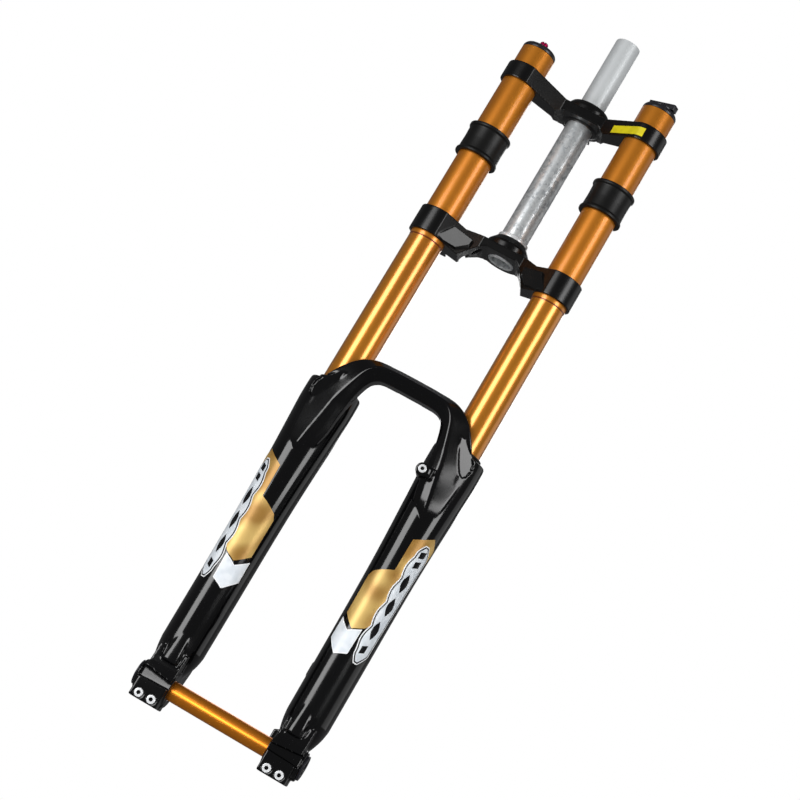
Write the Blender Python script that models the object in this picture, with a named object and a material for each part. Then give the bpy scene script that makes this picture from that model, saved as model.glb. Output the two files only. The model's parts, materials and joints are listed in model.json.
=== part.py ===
"""Dual-crown suspension fork. Metres, +Z up the steering axis, origin on that axis at the crown race seat.
-Y is the front of the fork, and the wheel axle lies along X below the origin."""

import itertools
import math

import bmesh
import bpy
from mathutils import Matrix, Vector

MM = 0.001

# Layout
TUBE_X = 72.0  # each stanchion stands this far from the middle plane
TUBE_Y = -44.0  # stanchions in front of the steering axis
AXLE_Y = -52.0
AXLE_Z = -583.0
TRAVEL = 135.0

# Steerer
STEERER_TOP, STEERER_BOTTOM = 260.0, -27.0
STEERER_R, STEERER_MID_R, STEERER_BORE_R = 14.3, 15.2, 12.2
STEERER_STEP_Z = 150.0

# Stanchions
TUBE_TOP, TUBE_STEP_Z, TUBE_BOTTOM = 184.0, -58.5, -395.0
TUBE_UPPER_R, TUBE_LOWER_R, TUBE_BORE_R = 19.2, 18.85, 16.8

# Crowns
BAND_R = 22.6
LOWER_BAND_TOP, LOWER_BAND_BOTTOM = -25.0, -53.0
LOWER_HUB_TOP, LOWER_HUB_BOTTOM = -17.0, -25.5
UPPER_BAND_TOP, UPPER_BAND_BOTTOM = 161.0, 142.0
UPPER_HUB_BOTTOM, UPPER_BOSS_TOP = 150.0, 173.0
HUB_R = 25.0
LOWER_BOLT_LEVELS, UPPER_BOLT_LEVEL = (-32.5, -45.5), 151.5
PINCH_SLOT = 2.0
FIT = 0.3  # gap left between two pieces that touch

# Lowers
LEG_TOP = -240.0
LEG_BORE_R = 20.3
LEG_FLOOR = -551.0
ARCH_FRONT, ARCH_BACK = -78.0, -56.0
FOOT_SEAT, FOOT_BOLT_R, FOOT_BOLT_REACH = LEG_FLOOR - 13.0, 3.0, 22.0
HUB_FACE_X = 55.0
DROPOUT_OUTER_X = 92.0
AXLE_R, AXLE_BORE_R = 10.0, 6.5
AXLE_BOLT_X, AXLE_BOLT_DROP, AXLE_SEAT = (65.0, 79.0), -17.2, -17.0
HOSE_BOSS = (50.5, 0.0, -276.0)
BRAKE_X, BRAKE_INNER, BRAKE_FRONT, BRAKE_FACE = 53.0, 47.5, -39.0, -8.0
BRAKE_LEVELS = (-497.0, -571.0)
SEGMENTS = 32
START_ANGLES = itertools.count()


def clear_scene():
    for obj in list(bpy.data.objects):
        bpy.data.objects.remove(obj, do_unlink=True)


def colour_of(kind):
    return {
        "anodised gold": (0.80, 0.36, 0.05, 1.0, 0.28),
        "black paint": (0.012, 0.012, 0.013, 0.0, 0.18),
        "black crown": (0.015, 0.015, 0.016, 0.0, 0.40),
        "zinc steel": (0.62, 0.64, 0.65, 1.0, 0.35),
        "bright steel": (0.75, 0.76, 0.77, 1.0, 0.2),
        "rubber": (0.02, 0.02, 0.02, 0.0, 0.6),
        "cap black": (0.015, 0.015, 0.017, 0.0, 0.35),
        "magenta": (0.45, 0.01, 0.12, 1.0, 0.3),
        "bushing": (0.30, 0.20, 0.10, 1.0, 0.4),
        "nylon": (0.05, 0.05, 0.055, 0.0, 0.5),
    }[kind]


def give_material(obj, kind):
    red, green, blue, metallic, roughness = colour_of(kind)
    material = bpy.data.materials.new(obj.name + "_material")
    material.use_nodes = True
    shader = material.node_tree.nodes["Principled BSDF"]
    shader.inputs["Base Color"].default_value = (red, green, blue, 1.0)
    shader.inputs["Metallic"].default_value = metallic
    shader.inputs["Roughness"].default_value = roughness
    obj.data.materials.append(material)


def joint_empty(name, x, y, z):
    empty = bpy.data.objects.new(name, None)
    empty.location = (x * MM, y * MM, z * MM)
    bpy.context.collection.objects.link(empty)
    return empty


def object_from(name, bm):
    bmesh.ops.remove_doubles(bm, verts=bm.verts, dist=1e-4)
    bmesh.ops.recalc_face_normals(bm, faces=bm.faces)
    bmesh.ops.triangulate(bm, faces=bm.faces)
    mesh = bpy.data.meshes.new(name)
    bm.to_mesh(mesh)
    bm.free()
    obj = bpy.data.objects.new(name, mesh)
    bpy.context.collection.objects.link(obj)
    return obj


def node(obj, kind, parent=None):
    """Turns a finished solid from millimetres to metres, and hangs it on its joint's empty."""
    obj.data.transform(Matrix.Scale(MM, 4))
    give_material(obj, kind)
    if parent is not None:
        obj.parent = parent
        obj.matrix_parent_inverse = Matrix.Translation(-Vector(parent.location))
    return obj


# Frames for shapes that don't stand on +Z: local z goes along the named axis.
ALONG_X = Matrix(((0, 0, 1, 0), (1, 0, 0, 0), (0, 1, 0, 0), (0, 0, 0, 1)))
ALONG_Y = Matrix(((0, 1, 0, 0), (0, 0, 1, 0), (1, 0, 0, 0), (0, 0, 0, 1)))
UPRIGHT = Matrix.Identity(4)
HEAD_TO_FRONT = Matrix.Rotation(math.radians(90), 4, "X")
HEAD_DOWN = Matrix.Rotation(math.pi, 4, "X")


def placed(bm, at, frame=UPRIGHT):
    matrix = Matrix.Translation(Vector(at)) @ frame
    for vert in bm.verts:
        vert.co = matrix @ vert.co
    return bm


def loop_strip(bm, rings, closed_path):
    """Faces between neighbouring rings of vertices, with caps at both ends of an open path."""
    count = len(rings[0])
    pairs = list(zip(rings, rings[1:]))
    if closed_path:
        pairs.append((rings[-1], rings[0]))
    for low, high in pairs:
        for i in range(count):
            j = (i + 1) % count
            bm.faces.new((low[i], low[j], high[j], high[i]))
    if not closed_path:
        bm.faces.new(list(reversed(rings[0])))
        bm.faces.new(rings[-1])


def turned(name, profile, at=(0, 0, 0), frame=UPRIGHT, segments=SEGMENTS):
    """A closed (radius, height) profile turned about its axis. With every radius above zero it's a ring.
    Each one starts at its own angle, so that coaxial shapes share no edge line when they are combined."""
    start = 2 * math.pi / segments * (0.382 * next(START_ANGLES) % 1.0)
    bm = bmesh.new()
    on_axis = [r <= 1e-6 for r, _ in profile]
    columns = []
    for r, z in profile:
        if r <= 1e-6:
            columns.append([bm.verts.new((0, 0, z))] * segments)
            continue
        angles = [start + 2 * math.pi * k / segments for k in range(segments)]
        columns.append([bm.verts.new((r * math.cos(a), r * math.sin(a), z)) for a in angles])
    count = len(profile)
    for i in range(count):
        j = (i + 1) % count
        if on_axis[i] and on_axis[j]:
            continue
        for k in range(segments):
            n = (k + 1) % segments
            corners = [columns[i][k], columns[i][n], columns[j][n], columns[j][k]]
            unique = list(dict.fromkeys(corners))
            bm.faces.new(unique)
    return object_from(name, placed(bm, at, frame))


def tube(name, outer, inner, low, high, at=(0, 0, 0), frame=UPRIGHT, segments=SEGMENTS, chamfer=0.0):
    c = chamfer
    profile = [(inner, low), (outer - c, low), (outer, low + c), (outer, high - c), (outer - c, high), (inner, high)]
    if c == 0:
        profile = [(inner, low), (outer, low), (outer, high), (inner, high)]
    return turned(name, profile, at, frame, segments)


def rod(name, radius, low, high, at=(0, 0, 0), frame=UPRIGHT, segments=SEGMENTS, chamfer=0.0):
    c = chamfer
    profile = [(0, low), (radius - c, low), (radius, low + c), (radius, high - c), (radius - c, high), (0, high)]
    if c == 0:
        profile = [(0, low), (radius, low), (radius, high), (0, high)]
    return turned(name, profile, at, frame, segments)


def prism(name, outline, low, high, at=(0, 0, 0), frame=UPRIGHT):
    """A flat outline of (x, y) points, raised from low to high."""
    bm = bmesh.new()
    rings = [[bm.verts.new((x, y, z)) for x, y in outline] for z in (low, high)]
    loop_strip(bm, rings, False)
    return object_from(name, placed(bm, at, frame))


def box(name, x0, x1, y0, y1, z0, z1):
    return prism(name, [(x0, y0), (x1, y0), (x1, y1), (x0, y1)], z0, z1)


def loft(name, sections):
    """Rings of points, one above the other, joined and capped."""
    bm = bmesh.new()
    rings = [[bm.verts.new(p) for p in section] for section in sections]
    loop_strip(bm, rings, False)
    return object_from(name, placed(bm, (0, 0, 0)))


def combine(target, others, operation):
    """Applies one exact Boolean with all the other shapes at once, and removes them."""
    group = bpy.data.collections.new("operands")
    for other in others:
        group.objects.link(other)
    modifier = target.modifiers.new("combine", "BOOLEAN")
    modifier.solver = "EXACT"
    modifier.operation = operation
    modifier.operand_type = "COLLECTION"
    modifier.collection = group
    graph = bpy.context.evaluated_depsgraph_get()
    result = bpy.data.meshes.new_from_object(target.evaluated_get(graph))
    target.modifiers.clear()
    old, target.data = target.data, result
    bpy.data.meshes.remove(old)
    for other in others:
        bpy.data.objects.remove(other, do_unlink=True)
    bpy.data.collections.remove(group)
    bpy.context.view_layer.update()
    return target


def add(target, *others):
    return combine(target, others, "UNION")


def cut(target, *others):
    return combine(target, others, "DIFFERENCE")


def arc(cx, cy, radius, start, end, steps):
    """Points of a circular arc, in degrees."""
    return [
        (
            cx + radius * math.cos(math.radians(start + (end - start) * k / steps)),
            cy + radius * math.sin(math.radians(start + (end - start) * k / steps)),
        )
        for k in range(steps + 1)
    ]


def socket_bolt(name, head_r, head_h, shank_r, length, at, frame, parent=None):
    """A cap screw: local z points out of the head, and z = 0 is the seat under the head."""
    hex_r, hex_depth = head_r * 0.52, head_h * 0.55
    bolt = turned(
        name,
        [
            (0, -length), (shank_r - 0.4, -length), (shank_r, -length + 0.4), (shank_r, 0),
            (head_r, 0), (head_r, head_h - 0.5), (head_r - 0.5, head_h), (0, head_h),
        ],
        at, frame, 14,
    )
    socket = rod("socket", hex_r, head_h - hex_depth, head_h + 1, at, frame, 6)
    return node(cut(bolt, socket), "bright steel", parent)


# ---------------------------------------------------------------- crowns


def crown_outline(hub_y, hub_r, neck_x, neck_front, neck_back):
    """Plan of a crown: a round band at each stanchion, and arms that run back to the hub round the steerer."""
    right = [(neck_x, neck_front)]
    right += arc(TUBE_X, TUBE_Y, BAND_R, -112, 128, 16)
    right += [(neck_x + 8, neck_back)]
    left = [(-x, y) for x, y in reversed(right)]
    back = arc(0, hub_y, hub_r, 38, 142, 8)
    return right + back + left


def facing_front(points, low, high, name="facing"):
    """An (x, z) outline carried along Y from low to high."""
    frame = Matrix(((1, 0, 0, 0), (0, 0, 1, 0), (0, 1, 0, 0), (0, 0, 0, 1)))
    return prism(name, points, low, high, frame=frame)


EAR_Y = TUBE_Y + 27
LOWER_EAR, UPPER_EAR = (52.0, 82.0), (58.0, 88.0)
HEAD_INSIDE, HEAD_OUTSIDE = -1, 1
BOLT_R, BOLT_HEAD_R, BOLT_HEAD_H, BOLT_REACH, HEAD_SUNK = 2.5, 4.2, 4.5, 21.0, 4.0


def crown_blank(name, low, high):
    return prism(name, crown_outline(0, HUB_R, 24, TUBE_Y + 15, TUBE_Y + 32), low, high)


def ears(ear, low, high):
    """Blocks behind each stanchion that the pinch bolts pull together."""
    made = []
    for side in (-1, 1):
        near, far = sorted((side * ear[0], side * ear[1]))
        made.append(box("ear", near, far, TUBE_Y + 14, EAR_Y + 6.5, low, high))
    return made


def head_seat(ear, head):
    """How far from the middle plane a pinch bolt's head sits, inside or outside its ear."""
    return ear[0] + HEAD_SUNK if head == HEAD_INSIDE else ear[1] - HEAD_SUNK


def clamp_cuts(ear, head, low, high, bolt_levels):
    """Stanchion bores, the slots behind them, and the holes and head seats of the pinch bolts."""
    seat = head_seat(ear, head)
    made = []
    for side in (-1, 1):
        x = side * TUBE_X
        made.append(rod("bore", TUBE_UPPER_R + FIT / 2, low - 5, high + 5, (x, TUBE_Y, 0)))
        made.append(box("slot", x - PINCH_SLOT / 2, x + PINCH_SLOT / 2, TUBE_Y, EAR_Y + 12, low - 3, high + 3))
        for level in bolt_levels:
            near, far = sorted((side * (seat + head), side * (seat - head * (BOLT_REACH + 1))))
            made.append(rod("hole", BOLT_R + FIT, near, far, (0, EAR_Y, level), ALONG_X, 12))
            near, far = sorted((side * seat, side * (seat + head * 36)))
            made.append(rod("seat", BOLT_HEAD_R + 0.5, near, far, (0, EAR_Y, level), ALONG_X, 14))
    return made


def pockets(low, high):
    """Three-sided pockets that lighten the underside of the arms."""
    made = []
    for side in (-1, 1):
        outline = [(side * 28, -24), (side * 44, -24), (side * 44, -3), (side * 34, 1)]
        made.append(prism("pocket", outline[::side], low, high))
    return made


def make_lower_crown():
    crown = crown_blank("lower_crown", LOWER_BAND_BOTTOM, LOWER_HUB_TOP)
    cone = turned(
        "cone",
        [(0, LOWER_HUB_BOTTOM + 1), (HUB_R - 0.5, LOWER_HUB_BOTTOM + 1), (HUB_R - 0.5, -9), (HUB_R - 1.5, -8),
         (17.6, -1.0), (0, -1.0)],
    )
    right_drop = [(37, -60), (37, LOWER_BAND_BOTTOM), (29, -39), (21, LOWER_HUB_BOTTOM)]
    middle_drop = right_drop + [(-x, z) for x, z in reversed(right_drop)]
    above_bands = [
        [(side * 24, LOWER_HUB_TOP + 0.1), (side * 42, LOWER_BAND_TOP), (side * 110, LOWER_BAND_TOP), (side * 110, 0),
         (side * 24, 0)]
        for side in (-1, 1)
    ]
    add(crown, cone, *ears(LOWER_EAR, LOWER_BAND_BOTTOM + 0.4, LOWER_BAND_TOP - 0.4))
    cut(
        crown,
        facing_front(middle_drop, -80, 60),
        *(facing_front(outline, -80, 60) for outline in above_bands),
        *clamp_cuts(LOWER_EAR, HEAD_INSIDE, LOWER_BAND_BOTTOM, LOWER_BAND_TOP, LOWER_BOLT_LEVELS),
        *pockets(-60, -31),
        rod("steerer hole", STEERER_MID_R + FIT / 2, -60, 5),
    )
    return node(crown, "black crown")


def make_upper_crown():
    crown = crown_blank("upper_crown", UPPER_BAND_BOTTOM, UPPER_BAND_TOP)
    boss = turned(
        "boss",
        [(0, 149), (19.5, 149), (HUB_R, 153), (HUB_R, 168), (22.0, UPPER_BOSS_TOP), (0, UPPER_BOSS_TOP)],
    )
    right_drop = [(29, 130), (29, UPPER_BAND_BOTTOM), (20, UPPER_HUB_BOTTOM)]
    middle_drop = right_drop + [(-x, z) for x, z in reversed(right_drop)]
    cut(crown, facing_front(middle_drop, -80, 60))
    clamp = box("clamp", -13, 13, 12, 32, 149.6, 160.4)
    add(crown, boss, clamp, *ears(UPPER_EAR, UPPER_BAND_BOTTOM + 0.4, UPPER_BAND_TOP - 0.4))
    cut(
        crown,
        *clamp_cuts(UPPER_EAR, HEAD_OUTSIDE, UPPER_BAND_BOTTOM, UPPER_BAND_TOP, (UPPER_BOLT_LEVEL,)),
        *pockets(130, 155),
        rod("steerer hole", STEERER_R + FIT / 2, 130, 180),
        rod("steerer step", STEERER_MID_R + FIT / 2, 130, STEERER_STEP_Z + FIT),
        box("clamp slot", -PINCH_SLOT / 2, PINCH_SLOT / 2, 8, 40, 130, 180),
        rod("clamp hole", BOLT_R + FIT, -11, 10.5, (0, 24.5, 155), ALONG_X, 12),
        rod("clamp seat", BOLT_HEAD_R + 0.5, -20, -9, (0, 24.5, 155), ALONG_X, 14),
    )
    return node(crown, "black crown")


def crown_bolt(name, side, ear, head, level):
    out_of_head = Matrix.Rotation(math.radians(90 * side * head), 4, "Y")
    seat = side * (head_seat(ear, head) + head * FIT)
    socket_bolt(name, BOLT_HEAD_R, BOLT_HEAD_H, BOLT_R, BOLT_REACH, (seat, EAR_Y, level), out_of_head)


def make_crown_bolts():
    for side, word in ((-1, "left"), (1, "right")):
        for level, place in zip(LOWER_BOLT_LEVELS, ("upper", "lower")):
            crown_bolt(f"lower_crown_bolt_{word}_{place}", side, LOWER_EAR, HEAD_INSIDE, level)
        crown_bolt(f"upper_crown_bolt_{word}", side, UPPER_EAR, HEAD_OUTSIDE, UPPER_BOLT_LEVEL)
    head_left = Matrix.Rotation(math.radians(-90), 4, "Y")
    seat = (-9 - FIT, 24.5, 155)
    socket_bolt("steerer_clamp_bolt", BOLT_HEAD_R, BOLT_HEAD_H, BOLT_R, 18, seat, head_left)


# ---------------------------------------------------------------- steerer and stanchions


def make_steerer():
    steerer = turned(
        "steerer_tube",
        [
            (STEERER_BORE_R, STEERER_BOTTOM), (STEERER_MID_R - 0.6, STEERER_BOTTOM),
            (STEERER_MID_R, STEERER_BOTTOM + 0.6), (STEERER_MID_R, STEERER_STEP_Z),
            (STEERER_R, STEERER_STEP_Z), (STEERER_R, STEERER_TOP - 0.6), (STEERER_R - 0.6, STEERER_TOP),
            (STEERER_BORE_R, STEERER_TOP),
        ],
        segments=36,
    )
    node(steerer, "zinc steel")
    race = turned(
        "crown_race_ring",
        [(STEERER_MID_R + FIT, -0.7), (17.5, -0.7), (17.5, 2.2), (16.6, 3.4), (STEERER_MID_R + FIT, 3.4)],
        segments=36,
    )
    node(race, "bright steel")


def make_stanchion(word, side):
    profile = [
        (TUBE_BORE_R, TUBE_BOTTOM), (TUBE_LOWER_R - 0.5, TUBE_BOTTOM), (TUBE_LOWER_R, TUBE_BOTTOM + 0.5),
        (TUBE_LOWER_R, TUBE_STEP_Z - 0.4), (TUBE_UPPER_R, TUBE_STEP_Z), (TUBE_UPPER_R, TUBE_TOP - 0.4),
        (TUBE_UPPER_R - 0.4, TUBE_TOP), (TUBE_BORE_R, TUBE_TOP),
    ]
    node(turned(f"stanchion_{word}", profile, (side * TUBE_X, TUBE_Y, 0), segments=36), "anodised gold")


def make_bumper(word, side, low, high):
    inner, body, lip = TUBE_UPPER_R + FIT, 22.6, 24.0
    profile = [
        (inner, low), (lip - 0.8, low), (lip, low + 0.8), (lip, low + 2.8), (body, low + 4.2),
        (body, high - 4.2), (lip, high - 2.8), (lip, high - 0.8), (lip - 0.8, high), (inner, high),
    ]
    node(turned(f"frame_bumper_{word}", profile, (side * TUBE_X, TUBE_Y, 0)), "rubber")


# ---------------------------------------------------------------- caps, dials and springs


CAP_SEAT, CAP_PLUG_END = TUBE_TOP + FIT, 168.0
DIAL_Z = 192.0


def make_caps(damper_dial, preload_dial, preload_screw):
    plug = TUBE_BORE_R - FIT
    for word, side, screw_r in (("left", -1, 2.6), ("right", 1, 4.6)):
        profile = [
            (screw_r, CAP_PLUG_END), (plug, CAP_PLUG_END), (plug, CAP_SEAT), (TUBE_UPPER_R, CAP_SEAT),
            (TUBE_UPPER_R, CAP_SEAT + 3.0), (17.6, CAP_SEAT + 5.6), (12.5, DIAL_Z - FIT), (screw_r, DIAL_Z - FIT),
        ]
        node(turned(f"top_cap_{word}", profile, (side * TUBE_X, TUBE_Y, 0)), "cap black")
    knob = turned(
        "damper_dial",
        [(0, 168.4), (2.2, 168.4), (2.2, DIAL_Z), (4.6, DIAL_Z), (4.6, DIAL_Z + 6.6), (3.8, DIAL_Z + 7.6),
         (0, DIAL_Z + 7.6)],
        (-TUBE_X, TUBE_Y, 0), segments=24,
    )
    notch = box("notch", -TUBE_X - 0.6, -TUBE_X + 0.6, TUBE_Y - 8, TUBE_Y + 8, DIAL_Z + 6.2, DIAL_Z + 9)
    node(cut(knob, notch), "magenta", damper_dial)
    disc = turned(
        "preload_dial",
        [(0, 154.5), (4.2, 154.5), (4.2, DIAL_Z), (12.2, DIAL_Z), (12.2, DIAL_Z + 1.6), (0, DIAL_Z + 1.6)],
        (TUBE_X, TUBE_Y, 0),
    )
    grip = prism(
        "grip",
        [(-16.2, -3.6), (-15.2, -4.4), (15.2, -4.4), (16.2, -3.6), (16.2, 3.6), (15.2, 4.4), (-15.2, 4.4), (-16.2, 3.6)],
        DIAL_Z + 0.4, DIAL_Z + 6.6, (TUBE_X, TUBE_Y, 0), Matrix.Rotation(math.radians(-30), 4, "Z"),
    )
    node(add(disc, grip), "cap black", preload_dial)
    screw = turned(
        "preload_plunger",
        [(0, 138.0), (13.5, 138.0), (13.5, 146.0), (6.6, 148.0), (6.6, 161.7), (4.2 + FIT, 161.7), (4.2 + FIT, 150.0),
         (0, 150.0)],
        (TUBE_X, TUBE_Y, 0), segments=24,
    )
    node(screw, "nylon", preload_screw)


SPRING_TOP, SPRING_BOTTOM = 137.4, -205.0


def make_spring():
    """A round-wire coil with closed ends, kept clear of the stanchion's bore."""
    wire, coil, turns, per_turn, around = 2.1, 12.6, 16, 10, 4
    steps = turns * per_turn
    height = SPRING_TOP - SPRING_BOTTOM - 2 * wire
    bm = bmesh.new()
    rings = []
    for k in range(steps + 1):
        t = k / steps
        angle = 2 * math.pi * turns * t
        out = Vector((math.cos(angle), math.sin(angle), 0))
        centre = Vector((TUBE_X, TUBE_Y, SPRING_BOTTOM + wire + height * t)) + out * coil
        rings.append([
            bm.verts.new(
                centre + out * wire * math.cos(2 * math.pi * n / around)
                + Vector((0, 0, 1)) * wire * math.sin(2 * math.pi * n / around)
            )
            for n in range(around)
        ])
    loop_strip(bm, rings, False)
    node(object_from("coil_spring", placed(bm, (0, 0, 0))), "bright steel")


def make_damper(lowers):
    x, y = -TUBE_X, TUBE_Y
    top = CAP_PLUG_END - FIT
    cartridge = turned(
        "damper_cartridge",
        [(13.0, -190), (14.6, -190), (14.6, top), (0, top), (0, top - 4), (13.0, top - 4)],
        (x, y, 0), segments=24,
    )
    node(cartridge, "bright steel")
    node(tube("cartridge_head", 12.7, 5.4, -189, -172, (x, y, 0), segments=24), "anodised gold")
    foot, thread_end = LEG_FLOOR + FIT, FOOT_SEAT + FOOT_BOLT_REACH + 1
    damper_rod = turned(
        "damper_rod",
        [(FOOT_BOLT_R + FIT, foot), (5.0, foot), (5.0, -0.5), (4.5, 0), (0, 0), (0, thread_end),
         (FOOT_BOLT_R + FIT, thread_end)],
        (x, y, 0), segments=24,
    )
    node(damper_rod, "bright steel", lowers)
    node(tube("damper_piston", 12.6, 5.0 + FIT, -14, -3, (x, y, 0), segments=24), "bushing", lowers)


def make_rods(lowers):
    x, y = TUBE_X, TUBE_Y
    spring_rod = tube("spring_rod", 6.0, 3.4, LEG_FLOOR + FIT, -222, (x, y, 0), segments=24)
    node(spring_rod, "bright steel", lowers)
    seat = turned(
        "spring_seat",
        [(0, -221.5), (14.6, -221.5), (14.6, -205.0 - FIT), (9.6, -205.0 - FIT), (9.6, -198), (0, -198)],
        (x, y, 0), segments=24,
    )
    node(seat, "nylon", lowers)
    for word, side, inner in (("left", -1, 5.4), ("right", 1, 6.4)):
        guide = tube(
            f"stanchion_foot_{word}", TUBE_BORE_R - FIT, inner, -394, -380, (side * TUBE_X, TUBE_Y, 0), segments=24
        )
        node(guide, "nylon")


# ---------------------------------------------------------------- lowers


LEG_SHAPE = (
    # height, half width, reach in front of the stanchion's axis, reach behind it, where the widest line lies behind it
    (LEG_TOP, 27.6, 28.0, 28.0, 0.0),
    (LEG_TOP - 5.0, 28.8, 29.0, 29.0, 0.0),
    (-263.0, 28.9, 29.0, 29.0, 0.0),
    (-283.0, 28.0, 28.0, 29.2, 0.6),
    (-323.0, 26.1, 25.8, 29.2, 1.8),
    (-368.0, 24.5, 24.8, 29.8, 3.4),
    (-413.0, 23.8, 24.0, 30.5, 5.2),
    (-473.0, 23.5, 23.9, 31.5, 7.0),
    (-533.0, 23.3, 23.8, 32.0, 8.0),
    (-543.0, 23.0, 23.5, 31.0, 8.0),
    (-556.0, 20.6, 20.4, 27.0, 4.0),
    (-577.0, 13.5, 21.5, 9.5, -6.0),
)


def leg_section(side, height, half_width, front, rear, widest, count=26):
    """A rounded section, a little squarer than an ellipse, with its own depth in front of and behind its widest line."""
    points = []
    power = 0.92
    for k in range(count):
        angle = 2 * math.pi * k / count
        c, s = math.cos(angle), math.sin(angle)
        depth = rear - widest if s > 0 else front + widest
        x = half_width * math.copysign(abs(c) ** power, c)
        y = depth * math.copysign(abs(s) ** power, s)
        points.append((side * TUBE_X + x, TUBE_Y + widest + y, height))
    return points


ARCH_OUTER = ((95, -249), (90, -242), (81.5, -232), (71, -216.5), (60, -206), (50, -200), (40, -197.3), (20, -196))
ARCH_INNER = ((53, -345), (51, -300), (49, -262), (46, -240), (42.3, -227), (37, -220), (29, -216.8), (14, -216.2))


def arch_outline():
    right = [(93, -270)] + list(ARCH_OUTER)
    outer = right + [(-x, z) for x, z in reversed(right)]
    inner_right = list(ARCH_INNER)
    inner = [(-x, z) for x, z in inner_right] + list(reversed(inner_right))
    foot_left, foot_right = [(-64, -360)], [(64, -360)]
    return outer + foot_left + inner + foot_right


def casting_solids():
    """Everything that the casting is made of, before any hole is cut."""
    solids = []
    for side in (-1, 1):
        solids.append(loft("leg", [leg_section(side, *row) for row in LEG_SHAPE]))
        for name, radius, near, far in (("lug", 19.0, HUB_FACE_X, 88.0), ("boss", 15.7, 70.0, DROPOUT_OUTER_X)):
            low, high = sorted((side * near, side * far))
            solids.append(rod(name, radius, low, high, (0, AXLE_Y, AXLE_Z), ALONG_X, 32))
        near, far = sorted((side * 56.6, side * 87.6))
        solids.append(box("clamp", near, far, AXLE_Y - 21.5, AXLE_Y + 12, AXLE_Z - 23, AXLE_Z + 8))
    solids.append(facing_front(arch_outline(), ARCH_FRONT, ARCH_BACK, "arch"))
    solids.append(rod("hose boss", 7.2, -80.5, -60, HOSE_BOSS, ALONG_Y, 24))
    for level in BRAKE_LEVELS:
        outline = [(BRAKE_INNER, level - 7), (60, level - 12), (60, level + 12), (BRAKE_INNER, level + 7)]
        solids.append(facing_front(outline, BRAKE_FRONT, BRAKE_FACE, "brake post"))
    return solids


def casting_cuts():
    """Bores for the stanchions, seals, foot bolts and axle, and the pinch slots and screw holes."""
    cuts = []
    for side in (-1, 1):
        at = (side * TUBE_X, TUBE_Y, 0)
        cuts.append(turned(
            "bore",
            [(0, LEG_FLOOR), (13.0, LEG_FLOOR), (LEG_BORE_R, LEG_FLOOR + 11), (LEG_BORE_R, LEG_TOP - 7),
             (24.0, LEG_TOP - 7), (24.0, LEG_TOP + 0.8), (21.9, LEG_TOP + 1.6), (21.9, -150), (0, -150)],
            at,
        ))
        cuts.append(turned(
            "foot hole",
            [(0, AXLE_Z - 30), (7.0, AXLE_Z - 30), (7.0, FOOT_SEAT), (4.4, FOOT_SEAT), (4.4, LEG_FLOOR + 5),
             (0, LEG_FLOOR + 5)],
            at, segments=20,
        ))
        low, high = sorted((side * (HUB_FACE_X - 5), side * 100))
        cuts.append(rod("axle bore", AXLE_R + FIT / 2, low, high, (0, AXLE_Y, AXLE_Z), ALONG_X, 32))
        slot_y = AXLE_Y - 7
        cuts.append(box("pinch slot", low, high, slot_y - 1, slot_y + 1, AXLE_Z - 30, AXLE_Z))
        for bolt_x in AXLE_BOLT_X:
            cuts.append(turned(
                "bolt hole",
                [(0, -40), (4.9, -40), (4.9, AXLE_SEAT), (BOLT_R + FIT, AXLE_SEAT), (BOLT_R + FIT, 8), (0, 8)],
                (side * bolt_x, AXLE_Y, AXLE_Z + AXLE_BOLT_DROP), ALONG_Y, 14,
            ))
    cuts.append(rod("hose hole", 2.2, -90, -68, HOSE_BOSS, ALONG_Y, 12))
    for level in BRAKE_LEVELS:
        cuts.append(rod("brake hole", 2.6, BRAKE_FACE - 14, BRAKE_FACE + 5, (BRAKE_X, 0, level), ALONG_Y, 12))
    return cuts


def make_casting(lowers):
    first, *others = casting_solids()
    casting = cut(add(first, *others), *casting_cuts())
    casting.name = "lower_casting"
    return node(casting, "black paint", lowers)


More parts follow.
